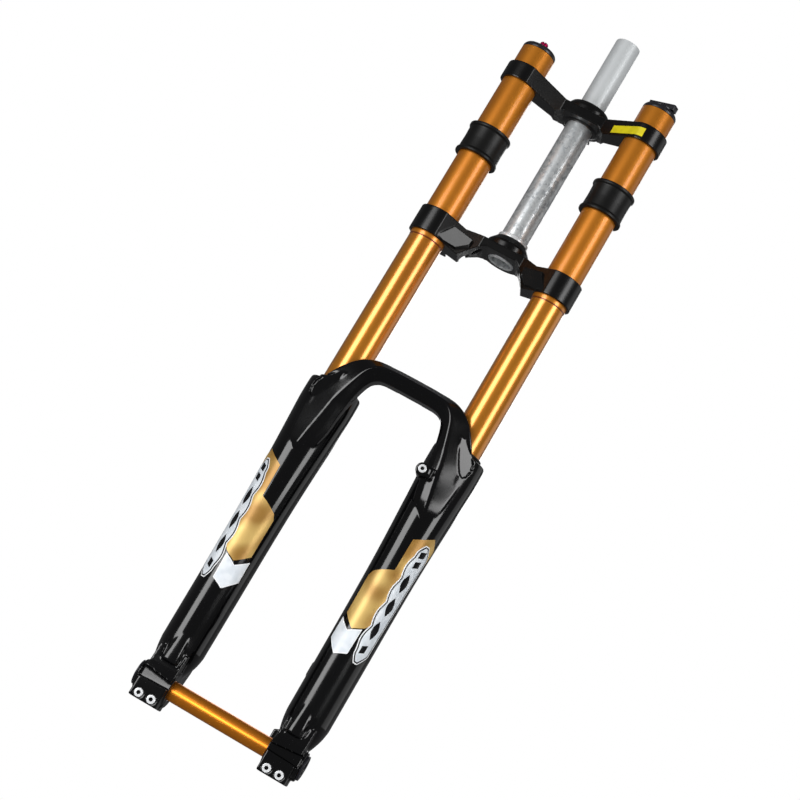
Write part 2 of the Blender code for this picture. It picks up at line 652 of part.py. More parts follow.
def make_lowers_fittings(lowers):
    for word, side in (("left", -1), ("right", 1)):
        at = (side * TUBE_X, TUBE_Y, 0)
        seal = turned(
            f"wiper_seal_{word}",
            [(TUBE_LOWER_R + FIT, LEG_TOP - 6.5), (23.7, LEG_TOP - 6.5), (23.6, LEG_TOP), (21.3, LEG_TOP + 0.8),
             (21.1, LEG_TOP + 4.5), (TUBE_LOWER_R + FIT, LEG_TOP + 5.5)],
            at,
        )
        node(seal, "rubber", lowers)
        for place, high in (("upper", LEG_TOP - 10), ("lower", -362.0)):
            bushing = tube(f"bushing_{word}_{place}", LEG_BORE_R - FIT, TUBE_LOWER_R + FIT, high - 14, high, at,
                           segments=24)
            node(bushing, "bushing", lowers)
        seat = (side * TUBE_X, TUBE_Y, FOOT_SEAT - FIT)
        socket_bolt(f"foot_bolt_{word}", 6.2, 4.0, FOOT_BOLT_R, FOOT_BOLT_REACH, seat, HEAD_DOWN, lowers)
        for bolt_x, place in zip(AXLE_BOLT_X, ("inner", "outer")):
            seat = (side * bolt_x, AXLE_Y + AXLE_SEAT - FIT, AXLE_Z + AXLE_BOLT_DROP)
            socket_bolt(f"axle_pinch_bolt_{word}_{place}", 4.5, 4.6, BOLT_R, 22.0, seat, HEAD_TO_FRONT, lowers)
    axle = turned(
        "through_axle",
        [(AXLE_BORE_R, -91), (AXLE_R, -91), (AXLE_R, 92 + FIT), (13.0, 92 + FIT), (13.0, 93.6), (12.2, 94.4),
         (AXLE_BORE_R, 94.4)],
        (0, AXLE_Y, AXLE_Z), ALONG_X,
    )
    node(axle, "anodised gold", lowers)
    end_cap = turned(
        "axle_end_cap",
        [(0, -84), (AXLE_BORE_R - FIT, -84), (AXLE_BORE_R - FIT, -92 - FIT), (13.0, -92 - FIT), (13.0, -93.6),
         (12.2, -94.4), (0, -94.4)],
        (0, AXLE_Y, AXLE_Z), ALONG_X,
    )
    node(end_cap, "cap black", lowers)
    seat = (HOSE_BOSS[0], -80.5 - FIT, HOSE_BOSS[2])
    socket_bolt("hose_guide_screw", 4.2, 2.6, 1.9, 9.0, seat, HEAD_TO_FRONT, lowers)


def build():
    clear_scene()
    lowers = joint_empty("lowers_slide", 0, TUBE_Y, LEG_TOP)
    damper_dial = joint_empty("damper_dial_axis", -TUBE_X, TUBE_Y, DIAL_Z)
    preload_dial = joint_empty("preload_dial_axis", TUBE_X, TUBE_Y, DIAL_Z)
    preload_screw = joint_empty("preload_plunger_axis", TUBE_X, TUBE_Y, 148)
    make_steerer()
    make_lower_crown()
    make_upper_crown()
    make_crown_bolts()
    make_stanchion("left", -1)
    make_stanchion("right", 1)
    make_bumper("left", -1, 46.5, 81.0)
    make_bumper("right", 1, 52.5, 87.0)
    make_caps(damper_dial, preload_dial, preload_screw)
    make_spring()
    make_damper(lowers)
    make_rods(lowers)
    make_casting(lowers)
    make_lowers_fittings(lowers)


build()
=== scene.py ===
"""A downhill bicycle suspension fork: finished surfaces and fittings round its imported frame.
Shapes are worked out in millimetres and brought to metres when a piece is finished.
-Y is the front of the bicycle and +X the rider's left, the brake side. The words left and right in
the names are as seen from the front, so left lies at -X, and a side of -1 or 1 is the sign of its x."""
import json
import math

import bmesh
import bpy
from mathutils import Matrix, Vector


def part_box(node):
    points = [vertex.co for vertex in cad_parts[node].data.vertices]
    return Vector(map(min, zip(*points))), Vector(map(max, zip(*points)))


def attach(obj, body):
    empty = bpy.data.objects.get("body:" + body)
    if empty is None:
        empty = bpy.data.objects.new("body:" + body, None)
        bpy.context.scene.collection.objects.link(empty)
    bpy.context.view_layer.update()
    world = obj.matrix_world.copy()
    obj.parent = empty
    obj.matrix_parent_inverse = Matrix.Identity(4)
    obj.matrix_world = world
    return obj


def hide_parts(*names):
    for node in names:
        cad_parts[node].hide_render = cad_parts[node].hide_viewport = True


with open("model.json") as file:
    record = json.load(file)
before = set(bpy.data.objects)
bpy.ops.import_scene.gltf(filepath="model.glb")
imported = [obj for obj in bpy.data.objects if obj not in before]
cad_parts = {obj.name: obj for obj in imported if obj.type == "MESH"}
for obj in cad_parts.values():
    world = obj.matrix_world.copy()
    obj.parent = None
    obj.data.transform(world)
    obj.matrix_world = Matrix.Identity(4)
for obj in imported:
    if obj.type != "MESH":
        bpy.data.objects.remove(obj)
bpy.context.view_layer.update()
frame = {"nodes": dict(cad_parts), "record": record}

MM = 0.001


def corner_mm(node, end):
    """One corner of a node's box, in millimetres: end 0 is the lowest and 1 the highest."""
    return Vector(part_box(node)[end]) / MM


# ---------------------------------------------------------------- sizes, mm

tube_low, tube_high = corner_mm("stanchion_right", 0), corner_mm("stanchion_right", 1)
TUBE_X, TUBE_Y = (tube_low.x + tube_high.x) / 2, (tube_low.y + tube_high.y) / 2
TUBE_BOTTOM, TUBE_TOP = tube_low.z, tube_high.z
TUBE_R, TUBE_LOWER_R, TUBE_BORE_R, TUBE_STEP_Z = 19.2, 18.85, 16.8, -58.5
BAND_R = 22.6
STEERER_BOTTOM, STEERER_TOP = corner_mm("steerer_tube", 0).z, corner_mm("steerer_tube", 1).z
STEERER_R, STEERER_MID_R, STEERER_BORE_R, STEERER_STEP_Z = 14.3, 15.2, 12.2, 150.0
LOWER_BAND = (corner_mm("lower_crown", 0).z, -25.0)  # lowest and highest z of a crown's clamps
UPPER_BAND = (corner_mm("upper_crown", 0).z, 161.0)
HUB_R = 25.0
EAR_Y = TUBE_Y + 27.0
LOWER_EAR, UPPER_EAR = (52.0, 82.0), (58.0, 88.0)  # distances of an ear's two faces from the middle
LOWER_BOLT_Z, UPPER_BOLT_Z = (-32.5, -45.5), (151.5,)
STEM_BOLT_Y, STEM_BOLT_Z = 24.5, 155.0
SCREW_SINK = 4.0  # depth of a screw's seat below the face of its ear
HOLE_R, SEAT_R = 2.8, 4.8  # the hole of a 5 mm screw and the seat of its head
LEG_TOP, LEG_FLOOR, LEG_BORE_R = -240.0, -551.0, 20.3
AXLE_Y, AXLE_Z, AXLE_R, AXLE_BORE_R = -52.0, -583.0, 10.0, 6.5
FOOT_SEAT_Z = -564.0
PINCH_BOLT_X, PINCH_SEAT = (65.0, 79.0), 17.0
PINCH_Z = AXLE_Z - 17.2
BRAKE_POST_Z = (-497.0, -571.0)
HOSE_BOSS = (50.5, 0.0, -276.0)
DIAL_Z = 192.0
FIT = 0.3
FINE = 96  # steps round a turned piece

# ---------------------------------------------------------------- shader expressions


class Wire:
    """One output socket of a material. Arithmetic on it adds Math nodes."""

    def __init__(self, finish, socket):
        self.finish = finish
        self.socket = socket

    def math(self, operation, *values):
        return self.finish.node("ShaderNodeMath", {"operation": operation}, dict(enumerate(values)))

    def __add__(self, other):
        return self.math("ADD", self, other)

    def __sub__(self, other):
        return self.math("SUBTRACT", self, other)

    def __mul__(self, other):
        return self.math("MULTIPLY", self, other)

    def __radd__(self, other):
        return self.math("ADD", other, self)

    def __rsub__(self, other):
        return self.math("SUBTRACT", other, self)

    def __rmul__(self, other):
        return self.math("MULTIPLY", other, self)


class Finish:
    """A material: its shader's fixed settings, and what varies over the surface."""

    def __init__(self, name, **constants):
        self.material = bpy.data.materials.new(name)
        self.material.use_nodes = True
        self.tree = self.material.node_tree
        self.shader = self.tree.nodes["Principled BSDF"]
        for key, value in constants.items():
            self.shader.inputs[key.replace("_", " ")].default_value = value

    def node(self, kind, settings=None, sockets=None, out=0):
        """Adds a node: its settings first, then its sockets' values or links. Gives one output's wire."""
        made = self.tree.nodes.new(kind)
        for key, value in (settings or {}).items():
            setattr(made, key, value)
        for key, value in (sockets or {}).items():
            self.feed(made.inputs[key], value)
        return Wire(self, made.outputs[out])

    def feed(self, socket, value):
        if isinstance(value, Wire):
            self.tree.links.new(value.socket, socket)
        else:
            socket.default_value = value

    def set(self, name, value):
        self.feed(self.shader.inputs[name], value)

    def place(self, stretch=(1, 1, 1)):
        """Where a point lies on the piece, in millimetres, stretched along each axis."""
        point = self.node("ShaderNodeTexCoord", out="Object")
        scale = [factor / MM for factor in stretch]
        return self.node("ShaderNodeVectorMath", {"operation": "MULTIPLY"}, {0: point, 1: scale})

    def along(self, axis):
        """The distance along one axis, in millimetres."""
        return self.node("ShaderNodeSeparateXYZ", sockets={0: self.place()}, out=axis)

    def noise(self, size, stretch=(1, 1, 1), detail=2.0, roughness=0.5):
        """Cloudy variation from 0 to 1, with features about size millimetres across."""
        sockets = {
            "Vector": self.place(stretch), "Scale": 1.0 / size, "Detail": detail, "Roughness": roughness,
        }
        return self.node("ShaderNodeTexNoise", sockets=sockets)

    def span(self, value, low, high, bottom=0.0, top=1.0):
        """Maps low..high of a value smoothly to bottom..top."""
        settings = {"interpolation_type": "SMOOTHSTEP"}
        sockets = {"Value": value, "From Min": low, "From Max": high, "To Min": bottom, "To Max": top}
        return self.node("ShaderNodeMapRange", settings, sockets)

    def blend(self, mask, first, second):
        """Colours mixed by a mask."""
        sockets = {0: mask, 6: first, 7: second}
        return self.node("ShaderNodeMix", {"data_type": "RGBA"}, sockets, out=2)

    def bump(self, height, depth, strength):
        """Relief of a given depth in millimetres."""
        sockets = {"Height": height, "Distance": depth * MM, "Strength": strength}
        self.set("Normal", self.node("ShaderNodeBump", sockets=sockets))


def colour(red, green, blue):
    return (red, green, blue, 1.0)


# ---------------------------------------------------------------- finishes


def gold_anodising():
    """Bright gold: drawn satin above the step in the tube, polished where the legs slide over it.
    A dark line at the step is painted shade."""
    gold = Finish("gold_anodising", Metallic=0.62, Coat_Roughness=0.17)
    height = gold.along("Z")
    cloud = gold.noise(38.0, (1, 1, 0.35))
    drawn = gold.noise(5.0, (0.4, 0.4, 1.0), detail=3.0)
    warm, deep = colour(0.71, 0.262, 0.014), colour(0.64, 0.215, 0.0115)
    upper = gold.span(height, TUBE_STEP_Z - 3.5, TUBE_STEP_Z + 8.5)
    tint = gold.blend(gold.span(cloud, 0.3, 0.7), deep, warm)
    tint = gold.blend(upper * 0.6, tint, colour(0.56, 0.180, 0.008))
    # painted shade: a dark line round the tube at its step, mixed into the base colour
    line = gold.span(height, -59.4, -58.6) * gold.span(height, -56.9, -57.6)
    gold.set("Base Color", gold.blend(line * 0.8, tint, colour(0.16, 0.018, 0.003)))
    gold.set("Roughness", 0.26 + upper * 0.17 + (drawn - 0.5) * 0.05)
    gold.set("Coat Weight", 0.95 - upper * 0.5)
    return gold


def turned_gold():
    """The gold of the axle, with the fine rings that the lathe leaves round it."""
    gold = Finish("turned_gold", Metallic=0.85)
    rings = gold.noise(0.6, (1.0, 0.02, 0.02), detail=1.0)
    gold.set("Base Color", gold.blend(rings, colour(0.75, 0.235, 0.018), colour(0.80, 0.265, 0.022)))
    gold.set("Roughness", 0.33 + 0.01 * rings)
    return gold


def zinc_plate():
    """Galvanised steel with grown crystals between the crowns, and brushed plain above them."""
    zinc = Finish("zinc_plate")
    ripple_sockets = {"Vector": zinc.place(), "Scale": 0.55, "Detail": 2.0}
    ripple = zinc.node("ShaderNodeTexNoise", sockets=ripple_sockets, out="Color")
    wobble = zinc.node("ShaderNodeVectorMath", {"operation": "ADD"}, {0: zinc.place((1, 1, 0.8)), 1: ripple})
    crystal_sockets = {"Vector": wobble, "Scale": 0.42}
    grain = zinc.node("ShaderNodeTexVoronoi", {"feature": "F1"}, crystal_sockets, out="Color")
    flake = zinc.node("ShaderNodeSeparateColor", sockets={0: grain}, out=0)
    spangle = zinc.span(zinc.along("Z"), STEERER_STEP_Z - 4.0, STEERER_STEP_Z + 6.0, 1.0, 0.0)
    patch = zinc.span(zinc.noise(9.0), 0.35, 0.65)
    mask = spangle * flake * (0.35 + 0.65 * patch)
    zinc.set("Base Color", zinc.blend(mask, colour(0.74, 0.77, 0.78), colour(0.36, 0.39, 0.41)))
    brushed = zinc.noise(3.0, (0.3, 0.3, 1.0))
    zinc.set("Metallic", 0.34 + 0.14 * spangle)
    zinc.set("Roughness", 0.42 - 0.12 * spangle + 0.2 * mask + (brushed - 0.5) * 0.06)
    zinc.bump(mask, 0.02, 0.4)
    return zinc


def gloss_paint():
    """Gloss black paint over a casting: deep, a little cloudy, with a faint orange peel."""
    paint = Finish("gloss_black_paint", Specular_IOR_Level=0.52)
    peel = paint.noise(2.6, detail=2.0)
    cloud = paint.noise(55.0)
    deep, pale = colour(0.0010, 0.0010, 0.0012), colour(0.0022, 0.0022, 0.0025)
    paint.set("Base Color", paint.blend(cloud, deep, pale))
    paint.set("Roughness", 0.10 + 0.08 * paint.span(cloud, 0.35, 0.75))
    paint.bump(peel, 0.003, 0.3)
    return paint


def satin_paint():
    """Satin black over a forging."""
    satin = Finish("satin_black", Specular_IOR_Level=0.4)
    cloud = satin.noise(24.0)
    grain = satin.noise(0.8, detail=4.0, roughness=0.6)
    deep, pale = colour(0.0015, 0.0015, 0.0016), colour(0.0032, 0.0032, 0.0032)
    satin.set("Base Color", satin.blend(cloud, deep, pale))
    satin.set("Roughness", 0.20 + 0.08 * cloud + 0.04 * grain)
    satin.bump(grain, 0.005, 0.4)
    return satin


def cap_anodising():
    cap = Finish("black_anodising", Metallic=0.0, Specular_IOR_Level=0.6)
    rings = cap.noise(0.7, (0.1, 0.1, 1.0))
    cap.set("Base Color", cap.blend(rings, colour(0.006, 0.006, 0.009), colour(0.016, 0.016, 0.021)))
    cap.set("Roughness", 0.24 + 0.16 * rings)
    cap.bump(rings, 0.01, 0.4)
    return cap


def moulded_rubber():
    rubber = Finish("moulded_rubber", Specular_IOR_Level=0.28)
    pores = rubber.noise(0.5, detail=3.0)
    bloom = rubber.noise(14.0)
    deep, pale = colour(0.0025, 0.0025, 0.0025), colour(0.006, 0.006, 0.0055)
    rubber.set("Base Color", rubber.blend(bloom, deep, pale))
    rubber.set("Roughness", 0.34 + 0.12 * pores)
    rubber.bump(pores, 0.01, 0.4)
    return rubber


def bright_plate():
    """Polished plated steel, for screws and rods."""
    plate = Finish("bright_plate", Metallic=0.3)
    worn = plate.noise(2.2, detail=3.0)
    plate.set("Base Color", plate.blend(worn, colour(0.74, 0.76, 0.78), colour(0.92, 0.93, 0.94)))
    plate.set("Roughness", 0.16 + 0.18 * worn)
    plate.bump(worn, 0.006, 0.4)
    return plate


def magenta_anodising():
    pink = Finish("magenta_anodising", Metallic=1.0, Coat_Weight=0.3)
    rings = pink.noise(0.6, (0.1, 0.1, 1.0))
    pink.set("Base Color", pink.blend(rings, colour(0.55, 0.008, 0.10), colour(0.78, 0.02, 0.17)))
    pink.set("Roughness", 0.24 + 0.12 * rings)
    return pink


def dark_nylon():
    nylon = Finish("dark_nylon")
    flow = nylon.noise(3.0, detail=3.0)
    nylon.set("Base Color", nylon.blend(flow, colour(0.035, 0.035, 0.04), colour(0.06, 0.06, 0.065)))
    nylon.set("Roughness", 0.4 + 0.2 * flow)
    return nylon


def bushing_bronze():
    bronze = Finish("bushing_bronze", Metallic=1.0)
    wear = bronze.noise(1.5, (1, 1, 0.3), detail=3.0)
    bronze.set("Base Color", bronze.blend(wear, colour(0.22, 0.14, 0.07), colour(0.38, 0.26, 0.13)))
    bronze.set("Roughness", 0.35 + 0.2 * wear)
    return bronze


def printed(name, low, high, metallic, roughness, patch=7.0):
    """Printed vinyl or foil, which wanders between two colours in patches of so many millimetres. The painted
    shadow in the screws' sockets is made with it too.
    """
    sheet = Finish(name, Metallic=metallic)
    streak = sheet.noise(patch, detail=0.0)
    sheet.set("Base Color", sheet.blend(sheet.span(streak, 0.32, 0.68), low, high))
    sheet.set("Roughness", roughness + 0.06 * streak)
    return sheet


FINISHES = {
    "gold": gold_anodising(),
    "steerer_metal": zinc_plate(),
    "gloss_black": gloss_paint(),
    "satin_black": satin_paint(),
    "cap_black": cap_anodising(),
    "rubber": moulded_rubber(),
    "bright_steel": bright_plate(),
    "magenta": magenta_anodising(),
    "nylon": dark_nylon(),
    "bushing": bushing_bronze(),
}
TURNED_GOLD = turned_gold()
# painted shadow: a dark colour laid on the faces inside the screws' hex sockets, where shade falls
SOCKET_SHADOW = printed("socket_shadow", colour(0.006, 0.006, 0.006), colour(0.02, 0.02, 0.02), 0.5, 0.4)
FOIL = printed("gold_foil", colour(0.40, 0.21, 0.045), colour(0.74, 0.50, 0.16), 0.3, 0.34, patch=24.0)
WHITE_FILM = printed("white_film", colour(0.90, 0.92, 0.94), colour(0.94, 0.95, 0.96), 0.0, 0.3)
SILVER_FILM = printed("silver_film", colour(0.70, 0.75, 0.80), colour(0.80, 0.84, 0.88), 0.0, 0.3)
BLACK_FILM = printed("black_film", colour(0.002, 0.002, 0.003), colour(0.005, 0.005, 0.006), 0.0, 0.2)
YELLOW_FILM = printed("yellow_label", colour(0.74, 0.62, 0.0), colour(0.84, 0.72, 0.0), 0.0, 0.5)

# ---------------------------------------------------------------- shapes

ALONG_X = Matrix(((0, 0, 1, 0), (1, 0, 0, 0), (0, 1, 0, 0), (0, 0, 0, 1)))
ALONG_Y = Matrix(((0, 1, 0, 0), (0, 0, 1, 0), (1, 0, 0, 0), (0, 0, 0, 1)))
FACING = Matrix(((1, 0, 0, 0), (0, 0, 1, 0), (0, 1, 0, 0), (0, 0, 0, 1)))
UPRIGHT = Matrix.Identity(4)


def shape(name, bm, at=(0, 0, 0), turn=UPRIGHT):
    """Closes a bmesh into an object, with its faces pointing out."""
    bmesh.ops.remove_doubles(bm, verts=bm.verts, dist=1e-4)
    bmesh.ops.transform(bm, matrix=Matrix.Translation(Vector(at)) @ turn, verts=bm.verts)
    bmesh.ops.recalc_face_normals(bm, faces=bm.faces)
    mesh = bpy.data.meshes.new(name)
    bm.to_mesh(mesh)
    bm.free()
    obj = bpy.data.objects.new(name, mesh)
    bpy.context.collection.objects.link(obj)
    return obj


def skin(bm, rings, capped=True):
    """Faces between neighbouring rings of vertices."""
    count = len(rings[0])
    for low, high in zip(rings, rings[1:]):
        for i in range(count):
            j = (i + 1) % count
            bm.faces.new((low[i], low[j], high[j], high[i]))
    if capped:
        bm.faces.new(list(reversed(rings[0])))
        bm.faces.new(rings[-1])


def rounded(points, radius, steps=4):
    """A closed outline with its corners rounded. Corners on the turning axis stay sharp."""
    made = []
    for i, here in enumerate(points):
        here = Vector(here)
        before, after = Vector(points[i - 1]), Vector(points[(i + 1) % len(points)])
        reach = min(radius, (before - here).length / 2.1, (after - here).length / 2.1)
        if here.x < 1e-6 or reach < 1e-3:
            made.append(tuple(here))
            continue
        first = here + (before - here).normalized() * reach
        last = here + (after - here).normalized() * reach
        for k in range(steps + 1):
            t = k / steps
            made.append(tuple((1 - t) ** 2 * first + 2 * t * (1 - t) * here + t * t * last))
    return made


def turned(name, profile, at=(0, 0, 0), turn=UPRIGHT, corner=0.0, steps=FINE):
    """A closed (radius, height) profile turned about its axis."""
    if corner:
        profile = rounded(profile, corner)
    bm = bmesh.new()
    columns = []
    for r, z in profile:
        if r <= 1e-6:
            columns.append([bm.verts.new((0, 0, z))] * steps)
            continue
        angles = [2 * math.pi * (k + 0.5) / steps for k in range(steps)]
        columns.append([bm.verts.new((r * math.cos(a), r * math.sin(a), z)) for a in angles])
    for i, column in enumerate(columns):
        following = columns[(i + 1) % len(columns)]
        for k in range(steps):
            n = (k + 1) % steps
            corners = list(dict.fromkeys([column[k], column[n], following[n], following[k]]))
            if len(corners) > 2:
                bm.faces.new(corners)
    return shape(name, bm, at, turn)


def rod(radius, low, high, at=(0, 0, 0), turn=UPRIGHT, steps=48):
    return turned("rod", [(0, low), (radius, low), (radius, high), (0, high)], at, turn, steps=steps)


def prism(name, outline, low, high, at=(0, 0, 0), turn=UPRIGHT):
    """A flat (x, y) outline raised from low to high."""
    bm = bmesh.new()
    skin(bm, [[bm.verts.new((x, y, z)) for x, y in outline] for z in (low, high)])
    return shape(name, bm, at, turn)


def box(x0, x1, y0, y1, z0, z1):
    return prism("box", [(x0, y0), (x1, y0), (x1, y1), (x0, y1)], z0, z1)


def facing(outline, front, back):
    """An (x, z) outline carried from front to back."""
    return prism("facing", outline, front, back, turn=FACING)


def loft(name, sections):
    bm = bmesh.new()
    skin(bm, [[bm.verts.new(point) for point in section] for section in sections])
    return shape(name, bm)


def between(a, b, c, d, t):
    """A value some share t of the way from b to c, on a smooth curve through all four."""
    bend = (2 * a - 5 * b + 4 * c - d) * t * t
    return 0.5 * (2 * b + (c - a) * t + bend + (3 * b - a - 3 * c + d) * t ** 3)


def eased(rows, parts):
    """Rows of numbers with smooth rows put between them."""
    made = []
    for i in range(len(rows) - 1):
        before, here = rows[max(i - 1, 0)], rows[i]
        there, after = rows[i + 1], rows[min(i + 2, len(rows) - 1)]
        for k in range(parts):
            t = k / parts
            made.append(tuple(between(*four, t) for four in zip(before, here, there, after)))
    made.append(tuple(rows[-1]))
    return made


def arc(cx, cy, radius, start, end, steps):
    angles = [math.radians(start + (end - start) * k / steps) for k in range(steps + 1)]
    return [(cx + radius * math.cos(a), cy + radius * math.sin(a)) for a in angles]


def apply_modifiers(obj):
    """Keeps what the modifiers make, and removes them."""
    graph = bpy.context.evaluated_depsgraph_get()
    result = bpy.data.meshes.new_from_object(obj.evaluated_get(graph))
    obj.modifiers.clear()
    old, obj.data = obj.data, result
    bpy.data.meshes.remove(old)
    return obj


def combine(target, others, operation):
    """Joins or cuts a shape with others, which are used up."""
    for other in others:
        modifier = target.modifiers.new("combine", "BOOLEAN")
        modifier.solver = "MANIFOLD"
        modifier.operation = operation
        modifier.object = other
    apply_modifiers(target)
    target.data.materials.clear()  # a Boolean leaves an empty slot
    for other in others:
        bpy.data.objects.remove(other, do_unlink=True)
    return target


def softened(obj, grain, passes, share):
    """Runs a hard-edged shape through a grid of that grain and evens it out, as casting and tumbling do.
    share is the part of the grid's faces that is kept."""
    remesh = obj.modifiers.new("grid", "REMESH")
    remesh.mode = "VOXEL"
    remesh.voxel_size = grain
    even = obj.modifiers.new("even", "SMOOTH")
    even.factor = 0.5
    even.iterations = passes
    thin = obj.modifiers.new("thin", "DECIMATE")
    thin.ratio = share
    apply_modifiers(obj)


def finished(obj, name, body, slot, replaced=(), sharp=35.0, finish=None):
    """Brings a piece to metres, sets it on its body, and gives it its finish. That is the slot's finish,
    unless it is given or the piece already has its materials."""
    obj.name = name
    obj.data.name = name
    obj.data.transform(Matrix.Scale(MM, 4))
    if not obj.data.materials:
        obj.data.materials.append((finish or FINISHES[slot]).material)
    obj.data.shade_smooth()
    if sharp:
        obj.data.set_sharp_from_angle(angle=math.radians(sharp))
    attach(obj, body)
    if replaced:
        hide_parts(*replaced)


# ---------------------------------------------------------------- steerer, stanchions and what is on them


def make_steerer():
    profile = [
        (STEERER_BORE_R, STEERER_BOTTOM + 0.8), (STEERER_BORE_R + 0.8, STEERER_BOTTOM),
        (STEERER_MID_R - 1.3, STEERER_BOTTOM), (STEERER_MID_R, STEERER_BOTTOM + 1.5),
        (STEERER_MID_R, STEERER_STEP_Z), (STEERER_R, STEERER_STEP_Z), (STEERER_R, STEERER_TOP),
        (STEERER_BORE_R, STEERER_TOP),
    ]
    steerer = turned("steerer", profile, corner=0.5)
    finished(steerer, "steerer", "steering", "steerer_metal", ["steerer_tube"])


def make_race_seat():
    """The bright ring at the foot of the steerer, with a groove round it."""
    bore, bottom, top = STEERER_MID_R + 0.2, -0.8, 3.4
    profile = [
        (bore, bottom), (17.5, bottom), (17.5, 1.0), (16.7, 1.4), (17.4, 1.8), (17.3, 2.6), (16.3, top),
        (bore, top),
    ]
    race = turned("race", profile, corner=0.25)
    finished(race, "crown_race_seat", "steering", "bright_steel", ["crown_race_ring"])


def make_stanchion(word, x):
    profile = [
        (TUBE_BORE_R, TUBE_BOTTOM), (TUBE_LOWER_R, TUBE_BOTTOM), (TUBE_LOWER_R, TUBE_STEP_Z),
        (TUBE_R, TUBE_STEP_Z + 0.6), (TUBE_R, TUBE_TOP), (TUBE_BORE_R, TUBE_TOP),
    ]
    tube = turned("tube", profile, (x, TUBE_Y, 0), corner=0.5)
    finished(tube, f"stanchion_tube_{word}", "steering", "gold", [f"stanchion_{word}"])


def make_bumper(word, x):
    """A rubber sleeve with a lip at each end and a slightly hollow middle."""
    node = f"frame_bumper_{word}"
    low, high = corner_mm(node, 0).z, corner_mm(node, 1).z
    inner, body, lip = TUBE_R + FIT / 2, 22.5, 24.0
    half = [(lip, low), (lip, low + 3.2), (body, low + 4.6)]
    profile = [(inner, low)] + half + [(body - 0.35, (low + high) / 2)]
    profile += [(r, low + high - z) for r, z in reversed(half)] + [(inner, high)]
    bumper = turned("bumper", profile, (x, TUBE_Y, 0), corner=1.0)
    finished(bumper, f"bumper_{word}", "steering", "rubber", [node])


CAP_SEAT = TUBE_TOP + 0.1


def make_cap(word, x, hole):
    """A screwed cap with a stepped edge and two flats for a wrench."""
    plug_bottom, plug_r, face = 168.0, TUBE_BORE_R - FIT, DIAL_Z - FIT
    profile = [
        (hole, plug_bottom), (plug_r, plug_bottom), (plug_r, CAP_SEAT), (TUBE_R, CAP_SEAT),
        (TUBE_R, CAP_SEAT + 3.0), (17.6, CAP_SEAT + 5.6), (12.5, face), (hole, face),
    ]
    cap = turned("cap", profile, (x, TUBE_Y, 0), corner=0.9)
    low, high = CAP_SEAT + 3.4, CAP_SEAT + 20
    fronts = (TUBE_Y + 14.6, TUBE_Y - 26.6)
    combine(cap, [box(x - 30, x + 30, y, y + 12, low, high) for y in fronts], "DIFFERENCE")
    finished(cap, f"tube_cap_{word}", "steering", "cap_black", [f"top_cap_{word}"])


def make_rebound_knob():
    """The small fluted knob of the damper, with a line cut across its top."""
    x, y, shank_r, knob_r, top = -TUBE_X, TUBE_Y, 2.2, 4.6, DIAL_Z + 7.6
    profile = [
        (0, 168.4), (shank_r, 168.4), (shank_r, DIAL_Z), (knob_r, DIAL_Z), (knob_r, top - 1.2),
        (knob_r - 1.0, top), (0, top),
    ]
    knob = turned("knob", profile, (x, y, 0), corner=0.5, steps=48)
    places = arc(x, y, 4.8, 0, 330, 11)
    cuts = [rod(0.7, DIAL_Z + 1, DIAL_Z + 12, (*place, 0), steps=10) for place in places]
    cuts.append(box(x - 0.6, x + 0.6, y - 8, y + 8, top - 1.2, DIAL_Z + 9))
    combine(knob, cuts, "DIFFERENCE")
    finished(knob, "rebound_knob", "damper_knob", "magenta", ["damper_dial"])


def make_preload_bar():
    """The preload dial: a disc with a grip across it that reaches past the disc at both ends."""
    x, y, shank_r, disc_r = TUBE_X, TUBE_Y, 4.2, 12.2
    profile = [
        (0, 154.5), (shank_r, 154.5), (shank_r, DIAL_Z), (disc_r, DIAL_Z), (disc_r, DIAL_Z + 1.6),
        (0, DIAL_Z + 2.0),
    ]
    dial = turned("disc", profile, (x, y, 0), corner=0.4)
    outline = rounded([(-16.2, -4.4), (16.2, -4.4), (16.2, 4.4), (-16.2, 4.4)], 1.6)
    aside = 20  # the grip is drawn this far beside its dial
    grip = prism("grip", [(px + aside, py) for px, py in outline], DIAL_Z + 0.4, DIAL_Z + 6.6)
    lean = Matrix.Rotation(math.radians(-30), 4, "Z")
    grip.data.transform(Matrix.Translation((x, y, 0)) @ lean @ Matrix.Translation((-aside, 0, 0)))
    combine(dial, [grip], "UNION")
    edge = dial.modifiers.new("edge", "BEVEL")
    edge.width, edge.segments = 0.5, 2
    edge.limit_method, edge.angle_limit = "ANGLE", math.radians(40)
    apply_modifiers(dial)
    finished(dial, "preload_knob_bar", "preload_knob", "cap_black", ["preload_dial"])


# ---------------------------------------------------------------- crowns


CROWN_FRONT, CROWN_BACK = -80, 60  # cutters reach from here to here
NECK_X, NECK_FRONT, NECK_BACK = 24, TUBE_Y + 15, TUBE_Y + 32
BAND_START, BAND_END = -112, 128  # degrees round a stanchion that the band takes up in the outline


def crown_outline():
    """Plan of a crown: a round band at each stanchion, and arms that run back to the hub."""
    band = arc(TUBE_X, TUBE_Y, BAND_R, BAND_START, BAND_END, 60)
    right = [(NECK_X, NECK_FRONT)] + band + [(NECK_X + 8, NECK_BACK)]
    return right + arc(0, 0, HUB_R, 38, 142, 24) + [(-x, y) for x, y in reversed(right)]


def crown_drop(inner_x, hub_x, foot, hub, between_them=()):
    """A tool for the space under a crown's middle, where its arms rise to the hub."""
    right = [(inner_x, foot - 12), (inner_x, foot), *between_them, (hub_x, hub)]
    return facing(right + [(-x, z) for x, z in reversed(right)], CROWN_FRONT, CROWN_BACK)


